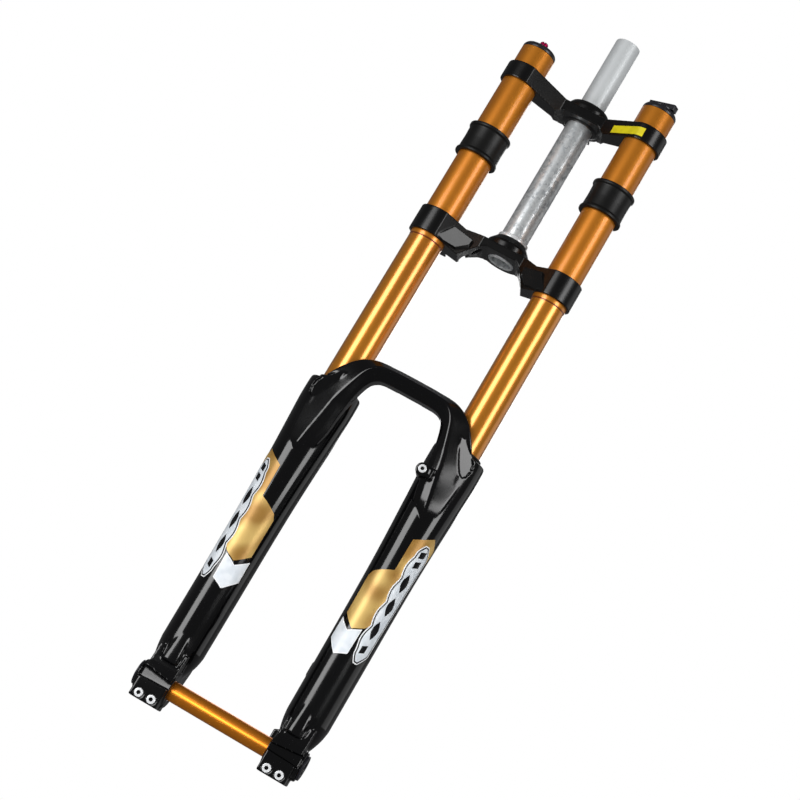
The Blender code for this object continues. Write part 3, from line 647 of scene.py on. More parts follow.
def clamp_cuts(ear, head, band, levels):
    """Stanchion bores, the slots behind them, and the holes and seats of the pinch bolts.
    head says which face of an ear the screws go in by: -1 for the inner one and 1 for the outer one."""
    seat = ear[0] + SCREW_SINK if head < 0 else ear[1] - SCREW_SINK
    hole_end, seat_end, slot_half = 22, 36, 1.2
    low, high = band
    made = []
    for side in (-1, 1):
        x = side * TUBE_X
        made.append(rod(TUBE_R + FIT / 2, low - 5, high + 5, (x, TUBE_Y, 0), steps=FINE))
        made.append(box(x - slot_half, x + slot_half, TUBE_Y, EAR_Y + 12, low - 3, high + 3))
        for level in levels:
            at = (0, EAR_Y, level)
            near, far = sorted((side * (seat + head), side * (seat - head * hole_end)))
            made.append(rod(HOLE_R, near, far, at, ALONG_X, 24))
            near, far = sorted((side * seat, side * (seat + head * seat_end)))
            made.append(rod(SEAT_R, near, far, at, ALONG_X, 32))
    return made


def ears(ear, band):
    """The lugs behind the stanchions that the pinch bolts draw together."""
    low, high = band[0] + 0.6, band[1] - 0.6
    front, back = TUBE_Y + 14, EAR_Y + 6.4
    outline = rounded([(front, low), (back, low), (back, high), (front, high)], 5.0)
    made = []
    for side in (-1, 1):
        near, far = sorted((side * ear[0], side * ear[1]))
        made.append(prism("ear", outline, near, far, turn=ALONG_X))
    return made


def arm_pad(side):
    """The flat pad forged on the front of one lower arm."""
    face = [(61.5, -50.0), (51.5, -31.5), (30.0, -31.5), (31.0, -39.0), (41.0, -50.0), (55.0, -51.8)]
    plan = [(65.0, -65.2), (29.0, -43.4), (29.0, -28.0), (65.0, -45.0)]
    pad = facing([(side * x, z) for x, z in face], -80, -20)
    return combine(pad, [prism("plan", [(side * x, y) for x, y in plan], -60, -20)], "INTERSECT")


def shoulder_cut(side, high):
    """A tool for the slope from the hub down to one clamp of the lower crown."""
    outline = [(24, -16.9), (42, high), (110, high), (110, 0), (24, 0)]
    return facing([(side * x, z) for x, z in outline], CROWN_FRONT, CROWN_BACK)


def make_lower_crown():
    low, high = LOWER_BAND
    crown = prism("crown", crown_outline(), low, -17.0)
    cone_r = HUB_R - 0.5
    cone = [(0, -24.5), (cone_r, -24.5), (cone_r, -9), (17.8, -1.0), (0, -1.0)]
    combine(crown, [turned("cone", cone, corner=1.5)] + ears(LOWER_EAR, LOWER_BAND), "UNION")
    cuts = [crown_drop(38, 17, low, -25.4, ((31, -41), (25, -32), (21, -27.5)))]
    cuts += [shoulder_cut(side, high) for side in (-1, 1)]
    cuts += clamp_cuts(LOWER_EAR, -1, LOWER_BAND, LOWER_BOLT_Z)
    cuts.append(rod(STEERER_MID_R + 0.1, -60, 5, steps=FINE))
    combine(crown, cuts, "DIFFERENCE")
    combine(crown, [arm_pad(1), arm_pad(-1)], "UNION")
    softened(crown, 0.5, 4, 0.5)
    finished(crown, "lower_crown_forging", "steering", "satin_black", ["lower_crown"], sharp=0)


def make_upper_crown():
    low, high = UPPER_BAND
    crown = prism("crown", crown_outline(), low, high)
    combine(crown, [crown_drop(29, 20, low, 150.0)], "DIFFERENCE")
    boss = [(0, 149), (19.5, 149), (HUB_R, 153), (HUB_R, 168), (22.0, 173), (0, 173)]
    clamp = box(-13, 13, 12, 32, 149.6, 160.4)
    combine(crown, [turned("boss", boss, corner=1.5), clamp] + ears(UPPER_EAR, UPPER_BAND), "UNION")
    cuts = clamp_cuts(UPPER_EAR, 1, UPPER_BAND, UPPER_BOLT_Z)
    below, above = 130, 180
    stem_bolt = (0, STEM_BOLT_Y, STEM_BOLT_Z)
    cuts += [
        rod(STEERER_R + FIT / 2, below, above, steps=FINE),
        rod(STEERER_MID_R + FIT / 2, below, STEERER_STEP_Z + FIT, steps=FINE),
        box(-1.2, 1.2, 8, 40, below, above),
        rod(HOLE_R, -11, 10.5, stem_bolt, ALONG_X, 24),
        rod(SEAT_R, -20, -9, stem_bolt, ALONG_X, 32),
    ]
    combine(crown, cuts, "DIFFERENCE")
    softened(crown, 0.5, 4, 0.5)
    finished(crown, "upper_crown_forging", "steering", "satin_black", ["upper_crown"], sharp=0)


# ---------------------------------------------------------------- lower casting

LEG_SHAPE = (
    # height, half width, reach in front of the stanchion and behind it, how far behind it the leg is widest
    (LEG_TOP, 27.9, 26.6, 28.0, 0.0),
    (-244.0, 28.8, 27.2, 29.0, 0.0),
    (-263.0, 28.9, 27.2, 29.0, 0.0),
    (-283.0, 28.0, 26.8, 29.2, 0.6),
    (-323.0, 26.1, 25.6, 29.2, 1.8),
    (-368.0, 24.5, 24.8, 29.8, 3.4),
    (-413.0, 23.8, 24.0, 30.5, 5.2),
    (-473.0, 23.5, 23.9, 31.5, 7.0),
    (-533.0, 23.3, 23.8, 32.0, 8.0),
    (-543.0, 23.0, 23.5, 31.0, 8.0),
    (-556.0, 20.6, 20.4, 27.0, 4.0),
    (-577.0, 13.5, 21.5, 9.5, -6.0),
)
LEG_ROWS = eased(LEG_SHAPE, 6)
SQUARENESS = 0.92  # 1 for an oval section, and less for a squarer one

ARCH_SHAPE = (
    # outer edge x and z, inner edge x and z, how far out the crest lies as a share, its y, outer edge's y
    (0.0, -196.0, 0.0, -216.3, 0.62, -79.0, -66.0),
    (20.0, -196.2, 14.0, -216.3, 0.62, -79.0, -66.0),
    (40.0, -197.5, 29.0, -217.0, 0.60, -78.8, -67.5),
    (50.0, -200.3, 35.5, -219.2, 0.52, -78.6, -69.5),
    (60.0, -206.0, 40.5, -224.0, 0.42, -78.5, -71.8),
    (71.0, -216.5, 44.0, -233.0, 0.33, -78.5, -71.0),
    (81.5, -232.0, 47.0, -246.0, 0.30, -78.5, -69.8),
    (88.0, -246.0, 49.0, -260.0, 0.32, -77.8, -68.0),
    (88.5, -262.0, 50.5, -274.0, 0.36, -76.8, -67.0),
    (88.0, -280.0, 52.0, -290.0, 0.42, -75.3, -67.3),
    (86.0, -300.0, 56.0, -306.0, 0.48, -73.8, -67.6),
    (83.0, -314.0, 62.0, -317.0, 0.50, -71.4, -67.0),
    (79.0, -327.0, 66.0, -328.0, 0.50, -65.5, -62.0),
)
ARCH_BACK = -56.0


def leg_row(height):
    """The leg's measures at one height."""
    for high, low in zip(LEG_ROWS, LEG_ROWS[1:]):
        if low[0] <= height <= high[0]:
            t = (high[0] - height) / (high[0] - low[0])
            return [a + (b - a) * t for a, b in zip(high, low)][1:]
    return LEG_ROWS[-1][1:]


def leg_point(side, turn, height, lift=0.0, row=None):
    """A point on the leg's skin. turn is in degrees: 0 at the front, positive to the outside."""
    half_width, front, rear, widest = row or leg_row(height)
    angle = math.radians(turn - 90.0)
    c, s = math.cos(angle), math.sin(angle)
    depth = rear - widest if s > 0 else front + widest
    x = (half_width + lift) * math.copysign(abs(c) ** SQUARENESS, c)
    y = (depth + lift) * math.copysign(abs(s) ** SQUARENESS, s)
    return Vector((side * (TUBE_X + x), TUBE_Y + widest + y, height))


def make_leg(side):
    turns = [360.0 * k / FINE for k in range(FINE)]
    sections = [[leg_point(side, turn, row[0], row=row[1:]) for turn in turns] for row in LEG_ROWS]
    return loft("leg", sections)


def arch_section(row, side):
    """One slice across the arch: a rounded crest, and a slope to either side of it."""
    outer, inner = Vector(row[0:2]), Vector(row[2:4])
    crest, front, shoulder = row[4:7]
    places = [
        (0.02, ARCH_BACK), (1.0, ARCH_BACK), (1.0, shoulder), (0.98, shoulder - 0.4),
        (crest + 0.05, front), (crest - 0.03, front + 0.1), (crest * 0.45, front + 3.2),
        (0.02, front + 7.0),
    ]
    points = []
    for share, y in places:
        x, z = inner + (outer - inner) * share
        points.append((side * x, y, z))
    return points


def make_arch():
    rows = eased(ARCH_SHAPE, 8)
    sections = [arch_section(row, -1) for row in reversed(rows[1:])]
    sections += [arch_section(row, 1) for row in rows]
    return loft("arch", sections)


SHOULDER_FACET = (
    (66.4, -227.0), (76.0, -230.0), (85.5, -237.5), (90.5, -245.0), (92.0, -252.0), (90.5, -259.0),
    (87.5, -263.0), (83.0, -260.5), (78.5, -254.0), (73.0, -244.0), (69.0, -235.0),
)
FACET_PLANE = (66.0, -76.2, 0.54)  # x0, y0 and slope of flat
CLAMP_SHELF = ((90.0, -573.4), (54.0, -577.2), (54.0, -584.4), (90.0, -585.8))
SHELF_PLANE = (54.0, -70.2, 0.21)


def pocket(x, y, z, lean):
    """A boat-shaped hollow tool, leaning sideways by some degrees."""
    ball = turned("ball", [(0, -1), *arc(0, 0, 1, -80, 80, 16), (0, 1)], steps=32)
    size = Matrix.Diagonal((3.0, 4.2, 13.0, 1.0))
    ball.data.transform(Matrix.Translation((x, y, z)) @ Matrix.Rotation(math.radians(lean), 4, "Y") @ size)
    return ball


def flat(side, outline, x0, y0, slope, limit=-110.0):
    """A block between y = limit and a plane that slants across the front of a leg. The plane lies at y0
    where x = x0, and goes back by slope for each millimetre outwards."""
    bm = bmesh.new()
    front = [bm.verts.new((side * x, limit, z)) for x, z in outline]
    back = [bm.verts.new((side * x, y0 + slope * (x - x0), z)) for x, z in outline]
    skin(bm, [front, back])
    return shape("flat", bm)


def ridge_section(side, half, height, front):
    """One slice across the end of a leg's ridge: a shallow crown in front and a flat back."""
    back, middle, steps = -50.0, 70.5, 8
    ring = [(half, back)]
    for k in range(steps, -steps - 1, -1):
        angle = math.pi * k / (2 * steps)
        ring.append((half * math.sin(angle), front + 0.48 * half * (1 - math.cos(angle)) ** 1.2))
    ring.append((-half, back))
    return [(side * middle + x, y, height) for x, y in ring]


def cast_on(side):
    """What is cast onto one leg: the axle's lug and its flange, the clamp block, the end of the ridge above
    it, the ground the shoulder's facet is cut from, and the web at the back."""
    made = []
    for radius, near, far in ((19.0, 55.0, 88.0), (15.7, 70.0, 92.0)):
        low, high = sorted((side * near, side * far))
        lug = [(0, low), (radius, low), (radius, high), (0, high)]
        made.append(turned("lug", lug, (0, AXLE_Y, AXLE_Z), ALONG_X, 1.2))
    clamp = [
        (-73.5, -606.0), (-73.5, -577.5), (-70.0, -573.5), (-67.2, -566.0), (-64.0, -548.0), (-42.0, -545.0),
        (-42.0, -606.0),
    ]
    near, far = sorted((side * 56.6, side * 87.6))
    made.append(prism("block", clamp, near, far, turn=ALONG_X))
    ridge = [(6.0, -520.0, -66.6), (7.0, -540.0, -69.2), (8.0, -552.0, -70.6)]
    ridge += [(8.4, -560.0, -70.8), (8.4, -562.5, -66.5)]
    made.append(loft("ridge", [ridge_section(side, *row) for row in ridge]))
    made.append(flat(side, SHOULDER_FACET, *FACET_PLANE, limit=-62.5))
    near, far = sorted((side * 55.2, side * 69.0))
    web = [
        (-58.0, -535.0), (-15.0, -535.0), (-14.2, -548.0), (-16.0, -560.0), (-21.0, -574.0), (-34.0, -584.0),
        (-55.0, -584.0),
    ]
    made.append(prism("web", web, near, far, turn=ALONG_X))
    return made


def leg_cuts(side):
    """Tools for one leg: its bore and the pocket of its seal, the foot bolt's hole, the axle's bore and slot,
    the pinch bolts' holes, the hollows beside the ridge, and the flats on its front."""
    at = (side * TUBE_X, TUBE_Y, 0)
    pocket_r, open_r, above = 23.8, 21.9, -150
    bore = [
        (0, LEG_FLOOR), (13.0, LEG_FLOOR), (LEG_BORE_R, LEG_FLOOR + 11), (LEG_BORE_R, LEG_TOP - 7),
        (pocket_r, LEG_TOP - 7), (pocket_r, LEG_TOP + 0.4), (open_r, LEG_TOP + 1.2), (open_r, above),
        (0, above),
    ]
    foot = [(0, -613), (7.0, -613), (7.0, FOOT_SEAT_Z), (4.4, FOOT_SEAT_Z), (4.4, -546), (0, -546)]
    inside, outside = sorted((side * 50.0, side * 100.0))
    made = [
        turned("bore", bore, at),
        turned("foot", foot, at, steps=32),
        rod(AXLE_R + FIT / 2, inside, outside, (0, AXLE_Y, AXLE_Z), ALONG_X),
        box(inside, outside, AXLE_Y - 8.1, AXLE_Y - 5.9, AXLE_Z - 30, AXLE_Z),
    ]
    hole = [(0, -40), (4.9, -40), (4.9, -PINCH_SEAT), (HOLE_R, -PINCH_SEAT), (HOLE_R, 8), (0, 8)]
    for x in PINCH_BOLT_X:
        made.append(turned("hole", hole, (side * x, AXLE_Y, PINCH_Z), ALONG_Y, steps=24))
    for x, z, lean in ((81.0, -548.0, 8.0), (59.6, -551.0, -3.0)):
        made.append(pocket(side * x, -67.5, z, side * lean))
    made.append(flat(side, SHOULDER_FACET, *FACET_PLANE))
    made.append(flat(side, CLAMP_SHELF, *SHELF_PLANE))
    return made


def brake_post(level):
    """One of the two posts at the back of the brake side's leg."""
    outline = [(47.5, level - 7), (60, level - 12), (60, level + 12), (47.5, level + 7)]
    return facing(outline, -39.0, -8.1)


def make_casting():
    casting = make_leg(1)
    solids = [make_leg(-1), make_arch()] + cast_on(1) + cast_on(-1)
    boss = [(0, -80.4), (7.2, -80.4), (7.2, -60), (0, -60)]
    solids.append(turned("hose", boss, HOSE_BOSS, ALONG_Y, 0.8))
    solids.append(box(54.0, 61.5, -79.0, -62.0, -281.5, -270.5))
    solids += [brake_post(level) for level in BRAKE_POST_Z]
    combine(casting, solids, "UNION")
    cuts = leg_cuts(-1) + leg_cuts(1)
    cuts.append(rod(2.2, -90, -68, HOSE_BOSS, ALONG_Y, 20))
    cuts += [rod(2.6, -22, -3, (53.0, 0, level), ALONG_Y, 24) for level in BRAKE_POST_Z]
    combine(casting, cuts, "DIFFERENCE")
    softened(casting, 0.85, 6, 0.225)
    finished(casting, "leg_casting", "lowers", "gloss_black", ["lower_casting"], sharp=0)


def make_seal(word, x):
    """The wiper at the mouth of a leg, with two lips on the tube."""
    bore = TUBE_LOWER_R + 0.2
    profile = [
        (bore, LEG_TOP - 6.5), (23.6, LEG_TOP - 6.5), (23.6, LEG_TOP + 0.4), (22.4, LEG_TOP + 1.2),
        (21.2, LEG_TOP + 1.4), (21.2, LEG_TOP + 2.4), (21.9, LEG_TOP + 3.0), (21.6, LEG_TOP + 4.4),
        (bore, LEG_TOP + 5.5),
    ]
    seal = turned("seal", profile, (x, TUBE_Y, 0), corner=0.3)
    finished(seal, f"dust_seal_{word}", "lowers", "rubber", [f"wiper_seal_{word}"])


AXLE_AT = (0, AXLE_Y, AXLE_Z)
AXLE_HEAD_X, AXLE_FLANGE_R = 92.2, 13.0


def make_axle():
    """The tube of the axle, its black flange on one side, and the cap that screws into the other."""
    tube = [(AXLE_BORE_R, -91), (AXLE_R, -91), (AXLE_R, AXLE_HEAD_X), (AXLE_BORE_R, AXLE_HEAD_X)]
    axle = turned("axle", tube, AXLE_AT, ALONG_X, 0.5)
    finished(axle, "axle_tube", "lowers", "gold", ["through_axle"], finish=TURNED_GOLD)
    head_end = AXLE_HEAD_X + 2.2
    head = [
        (AXLE_BORE_R, AXLE_HEAD_X), (AXLE_FLANGE_R, AXLE_HEAD_X), (AXLE_FLANGE_R, head_end),
        (AXLE_BORE_R + 0.6, head_end),
    ]
    flange = turned("flange", head, AXLE_AT, ALONG_X, 0.4)
    finished(flange, "axle_head", "lowers", "cap_black")
    plug_r, plug_end, seat, face = AXLE_BORE_R - FIT, -84, -92.3, -94.4
    plug = [
        (0, plug_end), (plug_r, plug_end), (plug_r, seat), (AXLE_FLANGE_R, seat), (AXLE_FLANGE_R, face),
        (3.4, face), (3.0, -91.0), (0, -91.0),
    ]
    cap = turned("cap", plug, AXLE_AT, ALONG_X, 0.5)
    finished(cap, "axle_cap", "lowers", "cap_black", ["axle_end_cap"])


# ---------------------------------------------------------------- screws


def screw_blank(head_r, head_h, shank_r, reach):
    """A cap screw with a hexagon socket. z points out of its head, and z = 0 is the seat under it."""
    profile = [(0, -reach), (shank_r, -reach), (shank_r, 0), (head_r, 0), (head_r, head_h), (0, head_h)]
    blank = turned("blank", profile, corner=0.55, steps=36)
    socket_r, floor = head_r * 0.5, head_h * 0.3
    combine(blank, [rod(socket_r, floor, head_h + 1, steps=6)], "DIFFERENCE")
    # marks the faces inside the hex socket, which get the painted shadow
    inside = blank.data.attributes.new("socket", "BOOLEAN", "FACE")
    for face, mark in zip(blank.data.polygons, inside.data):
        middle = face.center
        mark.value = math.hypot(middle.x, middle.y) < socket_r and floor - 0.1 < middle.z < head_h - 0.05
    return blank


def tree_socket(tree, name, kind, default=None):
    """Adds a named input to a tree and gives its identifier."""
    socket = tree.interface.new_socket(name=name, in_out="INPUT", socket_type=kind)
    if default is not None:
        socket.default_value = default
    return socket.identifier


def screw_row_tree():
    """Copies of one screw along a line, all turned the same way."""
    tree = bpy.data.node_groups.new("screw_row", "GeometryNodeTree")
    tree.interface.new_socket(name="Geometry", in_out="OUTPUT", socket_type="NodeSocketGeometry")
    names = {
        "Screw": tree_socket(tree, "Screw", "NodeSocketObject"),
        "Count": tree_socket(tree, "Count", "NodeSocketInt", 1),
        "Start": tree_socket(tree, "Start", "NodeSocketVector", (0, 0, 0)),
        "Step": tree_socket(tree, "Step", "NodeSocketVector", (0, 0, 0)),
        "Turn": tree_socket(tree, "Turn", "NodeSocketVector", (0, 0, 0)),
        "Material": tree_socket(tree, "Material", "NodeSocketMaterial"),
        "Socket Material": tree_socket(tree, "Socket Material", "NodeSocketMaterial"),
    }
    nodes, links = tree.nodes, tree.links
    given = nodes.new("NodeGroupInput")
    line = nodes.new("GeometryNodeMeshLine")
    line.mode = "OFFSET"
    source = nodes.new("GeometryNodeObjectInfo")
    copies = nodes.new("GeometryNodeInstanceOnPoints")
    real = nodes.new("GeometryNodeRealizeInstances")
    dress = nodes.new("GeometryNodeSetMaterial")
    inside = nodes.new("GeometryNodeInputNamedAttribute")
    inside.data_type = "BOOLEAN"
    inside.inputs["Name"].default_value = "socket"
    # gives the faces inside the sockets the painted-shadow material
    shade = nodes.new("GeometryNodeSetMaterial")
    result = nodes.new("NodeGroupOutput")
    links.new(given.outputs["Count"], line.inputs["Count"])
    links.new(given.outputs["Start"], line.inputs["Start Location"])
    links.new(given.outputs["Step"], line.inputs["Offset"])
    links.new(given.outputs["Screw"], source.inputs["Object"])
    links.new(line.outputs["Mesh"], copies.inputs["Points"])
    links.new(source.outputs["Geometry"], copies.inputs["Instance"])
    links.new(given.outputs["Turn"], copies.inputs["Rotation"])
    links.new(copies.outputs["Instances"], real.inputs["Geometry"])
    links.new(real.outputs["Geometry"], dress.inputs["Geometry"])
    links.new(given.outputs["Material"], dress.inputs["Material"])
    links.new(dress.outputs["Geometry"], shade.inputs["Geometry"])
    links.new(inside.outputs["Attribute"], shade.inputs["Selection"])
    links.new(given.outputs["Socket Material"], shade.inputs["Material"])
    links.new(shade.outputs["Geometry"], result.inputs["Geometry"])
    return tree, names


def screw_row(tree, names, blank, count, start, step, turn):
    """One row of screws, as a plain mesh in millimetres. turn is in degrees round each axis."""
    holder = bpy.data.objects.new("row", bpy.data.meshes.new("row"))
    bpy.context.collection.objects.link(holder)
    modifier = holder.modifiers.new("row", "NODES")
    modifier.node_group = tree
    values = {
        "Screw": blank, "Count": count, "Start": start, "Step": step,
        "Turn": [math.radians(a) for a in turn],
        "Material": FINISHES["bright_steel"].material, "Socket Material": SOCKET_SHADOW.material,
    }
    for key, value in values.items():
        modifier[names[key]] = value
    return apply_modifiers(holder)


def joined(parts):
    """Rows of screws as one mesh, with the steel and the painted shadow in the sockets as its two materials.
    """
    bm = bmesh.new()
    for part in parts:
        # the faces inside the sockets take the painted shadow, the rest the steel
        dark = list(part.data.materials).index(SOCKET_SHADOW.material)
        for face in part.data.polygons:
            face.material_index = int(face.material_index == dark)
        bm.from_mesh(part.data)
        bpy.data.objects.remove(part, do_unlink=True)
    whole = shape("joined", bm)
    for finish in (FINISHES["bright_steel"], SOCKET_SHADOW):
        whole.data.materials.append(finish.material)
    return whole


def make_screws():
    """Every screw that shows, in rows. FIT keeps each head clear of its seat."""
    tree, names = screw_row_tree()
    crown_blank = screw_blank(4.2, 4.5, 2.5, 21.0)
    stem_blank = screw_blank(4.2, 4.5, 2.5, 18.0)
    pinch_blank = screw_blank(4.5, 4.6, 2.5, 22.0)
    foot_blank = screw_blank(6.2, 4.0, 3.0, 22.0)
    hose_blank = screw_blank(4.2, 2.6, 1.9, 9.0)

    def row(blank, start, turn, count=1, step=(0, 0, 0)):
        return screw_row(tree, names, blank, count, start, step, turn)

    lower_x = LOWER_EAR[0] + SCREW_SINK - FIT
    upper_x = UPPER_EAR[1] - SCREW_SINK + FIT
    top_z, low_z = LOWER_BOLT_Z
    pinch_y = AXLE_Y - PINCH_SEAT - FIT
    near_x, far_x = PINCH_BOLT_X
    lower, upper, pinch, feet = [], [], [], []
    for side in (-1, 1):
        inward, outward, forward = (0, -90 * side, 0), (0, 90 * side, 0), (90, 0, 0)
        lower.append(row(crown_blank, (side * lower_x, EAR_Y, low_z), inward, 2, (0, 0, top_z - low_z)))
        upper.append(row(crown_blank, (side * upper_x, EAR_Y, UPPER_BOLT_Z[0]), outward))
        first = min(side * near_x, side * far_x)
        pinch.append(row(pinch_blank, (first, pinch_y, PINCH_Z), forward, 2, (far_x - near_x, 0, 0)))
        feet.append(row(foot_blank, (side * TUBE_X, TUBE_Y, FOOT_SEAT_Z - FIT), (180, 0, 0)))
    upper.append(row(stem_blank, (-9.0 - FIT, STEM_BOLT_Y, STEM_BOLT_Z), (0, -90, 0)))
    hose = row(hose_blank, (HOSE_BOSS[0], -80.5 - FIT, HOSE_BOSS[2]), (90, 0, 0))
    sides = ("left", "right")
    lower_nodes = [f"lower_crown_bolt_{word}_{place}" for word in sides for place in ("upper", "lower")]
    upper_nodes = ["upper_crown_bolt_left", "upper_crown_bolt_right", "steerer_clamp_bolt"]
    pinch_nodes = [f"axle_pinch_bolt_{word}_{place}" for word in sides for place in ("inner", "outer")]
    rows = (
        (lower, "lower_crown_screws", "steering", lower_nodes),
        (upper, "upper_crown_screws", "steering", upper_nodes),
        (pinch, "axle_pinch_screws", "lowers", pinch_nodes),
        (feet, "foot_screws", "lowers", ["foot_bolt_left", "foot_bolt_right"]),
        ([hose], "hose_clip_screw", "lowers", ["hose_guide_screw"]),
    )
    for parts, name, body, nodes in rows:
        finished(joined(parts), name, body, "bright_steel", nodes)
    for blank in (crown_blank, stem_blank, pinch_blank, foot_blank, hose_blank):
        bpy.data.objects.remove(blank, do_unlink=True)


# ---------------------------------------------------------------- leg graphics

# Outlines on a leg are (turn, height): degrees round from its front, positive to the outside, and z.
FOIL_PANEL = (
    (8, -340), (55, -328), (78, -338), (78, -345), (40, -425), (14, -439), (-10, -445), (-44, -433),
    (-44, -391), (-36, -385), (7, -375),
)
CHEVRON = ((11, -441), (9, -468.5), (-17.5, -474.5), (-50, -461), (-49, -438), (-17, -448.2))
DEGREE_MM = 2 * math.pi * 26.0 / 360.0  # length of one degree round the leg


def strip_outline():
    """A slanted band along the outside of the leg, its inner edge scalloped round the marks in it."""
    top, bottom, steps = -338.0, -473.0, 44
    scallop_top, scallop_length = -352.0, 27.0
    inner, outer = [], []
    for k in range(steps + 1):
        t = k / steps
        height = top + (bottom - top) * t
        end = min(1.0, 9.0 * t + 0.25, 9.0 * (1 - t) + 0.25)
        wave = abs(math.sin(math.pi * (height - scallop_top) / scallop_length))
        middle = 48.0 - 12.0 * t
        inner.append((middle - (17.0 + 6.5 * wave) * end, height))
        outer.append((middle + 26.0 * end, height))
    return tuple(inner[::-1] + outer)


STRIP = strip_outline()


def inset(outline, distance):
    """An outline moved inwards by a distance in millimetres, on the leg's unrolled skin."""
    unrolled = [Vector((turn * DEGREE_MM, height)) for turn, height in outline]
    area = sum(a.x * b.y - b.x * a.y for a, b in zip(unrolled, unrolled[1:] + unrolled[:1]))
    way = 1 if area > 0 else -1
    made = []
    for i, here in enumerate(unrolled):
        before, after = unrolled[i - 1], unrolled[(i + 1) % len(unrolled)]
        one, two = (here - before).normalized(), (after - here).normalized()
        normal = Vector((-one.y, one.x)) + Vector((-two.y, two.x))
        normal *= way / max(normal.length_squared / 2, 0.35)
        moved = here + normal * distance
        made.append((moved.x / DEGREE_MM, moved.y))
    return made


def lens(turn, top, bottom, half_turn):
    """A pointed oval on the leg's skin."""
    made = []
    steps = 10
    for k in range(2 * steps):
        t = k / steps
        bulge = math.sin(math.pi * (t % 1.0)) * half_turn * (1 if t < 1 else -1)
        height = top + (bottom - top) * (t if t < 1 else 2 - t)
        made.append((turn + bulge, height))
    return made


def slab(turn, top, bottom, half_turn):
    """A short bar across the strip, lower on its inner side."""
    inner, outer, drop = turn - half_turn, turn + half_turn, 1.5
    return [(inner, top - drop), (outer, top + drop), (outer, bottom + drop), (inner, bottom - drop)]


def walled(name, bm, thickness):
    """A thin sheet made an object with some thickness, in front of the sheet's own faces."""
    mesh = bpy.data.meshes.new(name)
    bm.to_mesh(mesh)
    bm.free()
    obj = bpy.data.objects.new(name, mesh)
    bpy.context.collection.objects.link(obj)
    wall = obj.modifiers.new("wall", "SOLIDIFY")
    wall.thickness, wall.offset = thickness, 1.0
    return apply_modifiers(obj)


def film(outlines, side, lift):
    """Thin printed film laid on the leg: each outline is cut small and wrapped round the skin."""
    bm = bmesh.new()
    for outline in outlines:
        bm.faces.new([bm.verts.new((turn * DEGREE_MM, height, 0)) for turn, height in outline])
    heights = [height for outline in outlines for _, height in outline]
    low, high = min(heights), max(heights)
    across, up = 1.5, 4.0  # size of a small piece
    cuts = [(Vector((step * across, 0, 0)), Vector((1, 0, 0))) for step in range(-40, 41)]
    levels = range(1, int((high - low) / up) + 1)
    cuts += [(Vector((0, low + level * up, 0)), Vector((0, 1, 0))) for level in levels]
    for point, normal in cuts:
        geometry = bm.verts[:] + bm.edges[:] + bm.faces[:]
        bmesh.ops.bisect_plane(bm, geom=geometry, plane_co=point, plane_no=normal)
    for vert in bm.verts:
        vert.co = leg_point(side, vert.co.x / DEGREE_MM, vert.co.y, lift)
    bmesh.ops.recalc_face_normals(bm, faces=bm.faces)
    if sum(face.normal.y for face in bm.faces) > 0:
        bmesh.ops.reverse_faces(bm, faces=bm.faces)
    return walled("film", bm, 0.12)


def make_graphics(word, side):
    """The printed layers of one leg, each a little proud of the one under it."""
    marks = [slab(47, -345, -352, 8), slab(47, -356, -363, 8)]
    marks += [lens(44, -371, -392, 9), lens(42, -398, -419, 9), lens(39, -425, -446, 9)]
    marks.append(slab(37, -453, -461, 7))
    layers = (
        ("foil", FOIL, [FOIL_PANEL]),
        ("edging", WHITE_FILM, [STRIP, CHEVRON]),
        ("keyline", BLACK_FILM, [inset(STRIP, 1.1)]),
        ("field", SILVER_FILM, [inset(STRIP, 2.5), inset(CHEVRON, 1.0)]),
        ("marks", BLACK_FILM, marks),
    )
    for level, (name, finish, outlines) in enumerate(layers):
        piece = film(outlines, side, 0.30 + 0.14 * level)
        finished(piece, f"{name}_film_{word}", "lowers", None, sharp=60.0, finish=finish)


def make_label():
    """A plain yellow label on the front of the upper crown, over its arm and the clamp on the right."""
    columns, first_x, length, lift = 16, 36.5, 34.5, 0.35
    start = Vector((NECK_X, NECK_FRONT))
    touch = Vector(arc(TUBE_X, TUBE_Y, BAND_R, BAND_START, BAND_START, 1)[0])
    bm = bmesh.new()
    rows = []
    for k in range(columns + 1):
        t = k / columns
        x = first_x + length * t
        low, high = 144.4 + 0.8 * t, 153.4 + 1.8 * t
        if x < touch.x:
            y = start.y + (touch.y - start.y) * (x - start.x) / (touch.x - start.x)
        else:
            y = TUBE_Y - math.sqrt(BAND_R ** 2 - (x - TUBE_X) ** 2)
        rows.append([bm.verts.new((x, y - lift, z)) for z in (low, high)])
    for near, far in zip(rows, rows[1:]):
        bm.faces.new((near[0], far[0], far[1], near[1]))
    label = walled("label", bm, 0.15)
    finished(label, "crown_label", "steering", None, sharp=60.0, finish=YELLOW_FILM)


# ---------------------------------------------------------------- the whole fork


def dress_inner_nodes():
    """Finishes for the pieces that stay as they are inside the tubes."""
    slots = {entry["node"]: entry["material_slot"] for entry in frame["record"]["subparts"]}
    for name, obj in frame["nodes"].items():
        finish = FINISHES[slots[name]].material
        for index in range(len(obj.material_slots)):
            obj.material_slots[index].material = finish


def make_floor():
    """A round pale floor, some way under the fork."""
    radius, bottom, top = 760, -958, -950
    disc = turned("floor", [(0, bottom), (radius, bottom), (radius, top), (0, top)], corner=2.0)
    disc.data.transform(Matrix.Scale(MM, 4))
    pale = Finish("pale_floor", Roughness=0.8)
    cloud = pale.noise(180.0)
    pale.set("Base Color", pale.blend(cloud, colour(0.80, 0.80, 0.80), colour(0.84, 0.84, 0.84)))
    disc.data.materials.append(pale.material)
    disc.data.shade_smooth()
    disc.data.set_sharp_from_angle(angle=math.radians(35))
    disc.visible_glossy = False


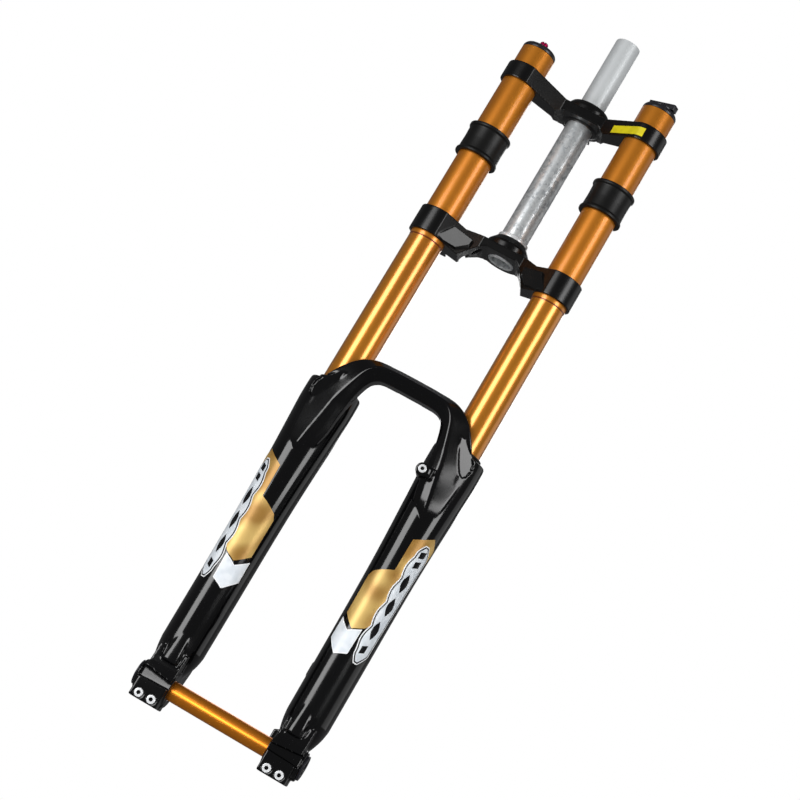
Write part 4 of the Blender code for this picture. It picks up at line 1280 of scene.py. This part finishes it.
def softbox(name, azimuth, distance, width, low, high, power, glossy=True):
    """A soft light that faces the fork, in metres. azimuth is in degrees from the front, positive
    towards +X. Its reflection shows only if it is glossy."""
    light = bpy.data.lights.new(name, "AREA")
    light.shape, light.size, light.size_y = "RECTANGLE", width, high - low
    light.energy = power * width * (high - low) * math.pi
    obj = bpy.data.objects.new(name, light)
    bpy.context.collection.objects.link(obj)
    angle = math.radians(azimuth)
    obj.location = (distance * math.sin(angle), -distance * math.cos(angle), (low + high) / 2)
    toward = Vector((-math.sin(angle), math.cos(angle), 0))
    obj.rotation_euler = toward.to_track_quat("-Z", "Y").to_euler()
    obj.visible_camera = False
    obj.visible_glossy = glossy
    return obj


def make_lights():
    softbox("key_light", -36.0, 2.2, 1.05, -0.62, 0.68, 6.2)
    softbox("side_light", 51.0, 2.2, 0.85, -0.22, 1.25, 6.0)
    softbox("front_fill", 8.0, 2.6, 1.6, -0.9, 0.9, 0.5, glossy=False)
    low_light = softbox("low_light", -9.6, 2.2, 0.5, -0.76, -0.26, 15.0)  # for the axle only
    lit = bpy.data.collections.new("lit_by_low_light")
    lit.objects.link(bpy.data.objects["axle_tube"])
    low_light.light_linking.receiver_collection = lit
    softbox("rim_light", 118.0, 2.4, 1.6, -0.6, 1.4, 0.5)
    softbox("back_light", 180.0, 2.4, 1.4, 0.1, 1.5, 2.4)
    softbox("under_fill", 0.0, 0.9, 1.2, -0.94, -0.90, 30.0, glossy=False)


def make_surroundings():
    """White behind the fork, and a darker room in its reflections."""
    world = bpy.data.worlds.new("studio")
    bpy.context.scene.world = world
    world.use_nodes = True
    tree = world.node_tree
    rays = tree.nodes.new("ShaderNodeLightPath")
    mix = tree.nodes.new("ShaderNodeMix")
    mix.data_type = "RGBA"
    mix.inputs[6].default_value = colour(0.11, 0.11, 0.112)
    mix.inputs[7].default_value = colour(1.0, 1.0, 1.0)
    tree.links.new(rays.outputs["Is Camera Ray"], mix.inputs[0])
    tree.links.new(mix.outputs[2], tree.nodes["Background"].inputs["Color"])
    bpy.context.scene.view_settings.view_transform = "Standard"


def make_camera():
    """Low in front of the fork and a little towards +X, tipped so that the fork leans across the frame."""
    azimuth, rise, roll = math.radians(9.6), math.radians(12.1), math.radians(30.69)
    place = Vector((0.294, -1.842, -0.609))
    level_part = math.cos(rise)
    forward = Vector((-math.sin(azimuth) * level_part, math.cos(azimuth) * level_part, math.sin(rise)))
    level = forward.cross(Vector((0, 0, 1))).normalized()
    upright = level.cross(forward)
    right = level * math.cos(roll) + upright * math.sin(roll)
    up = upright * math.cos(roll) - level * math.sin(roll)
    data = bpy.data.cameras.new("camera")
    data.lens, data.sensor_width = 82.71, 36.0
    camera = bpy.data.objects.new("camera", data)
    bpy.context.collection.objects.link(camera)
    camera.matrix_world = Matrix.Translation(place) @ Matrix((right, up, -forward)).transposed().to_4x4()
    bpy.context.scene.camera = camera


make_camera()
make_steerer()
make_race_seat()
for word, side in (("left", -1), ("right", 1)):
    make_stanchion(word, side * TUBE_X)
    make_bumper(word, side * TUBE_X)
    make_seal(word, side * TUBE_X)
    make_graphics(word, side)
make_cap("left", -TUBE_X, 2.6)
make_cap("right", TUBE_X, 4.6)
make_rebound_knob()
make_preload_bar()
make_lower_crown()
make_upper_crown()
make_label()
make_casting()
make_axle()
make_screws()
dress_inner_nodes()
make_floor()
make_lights()
make_surroundings()
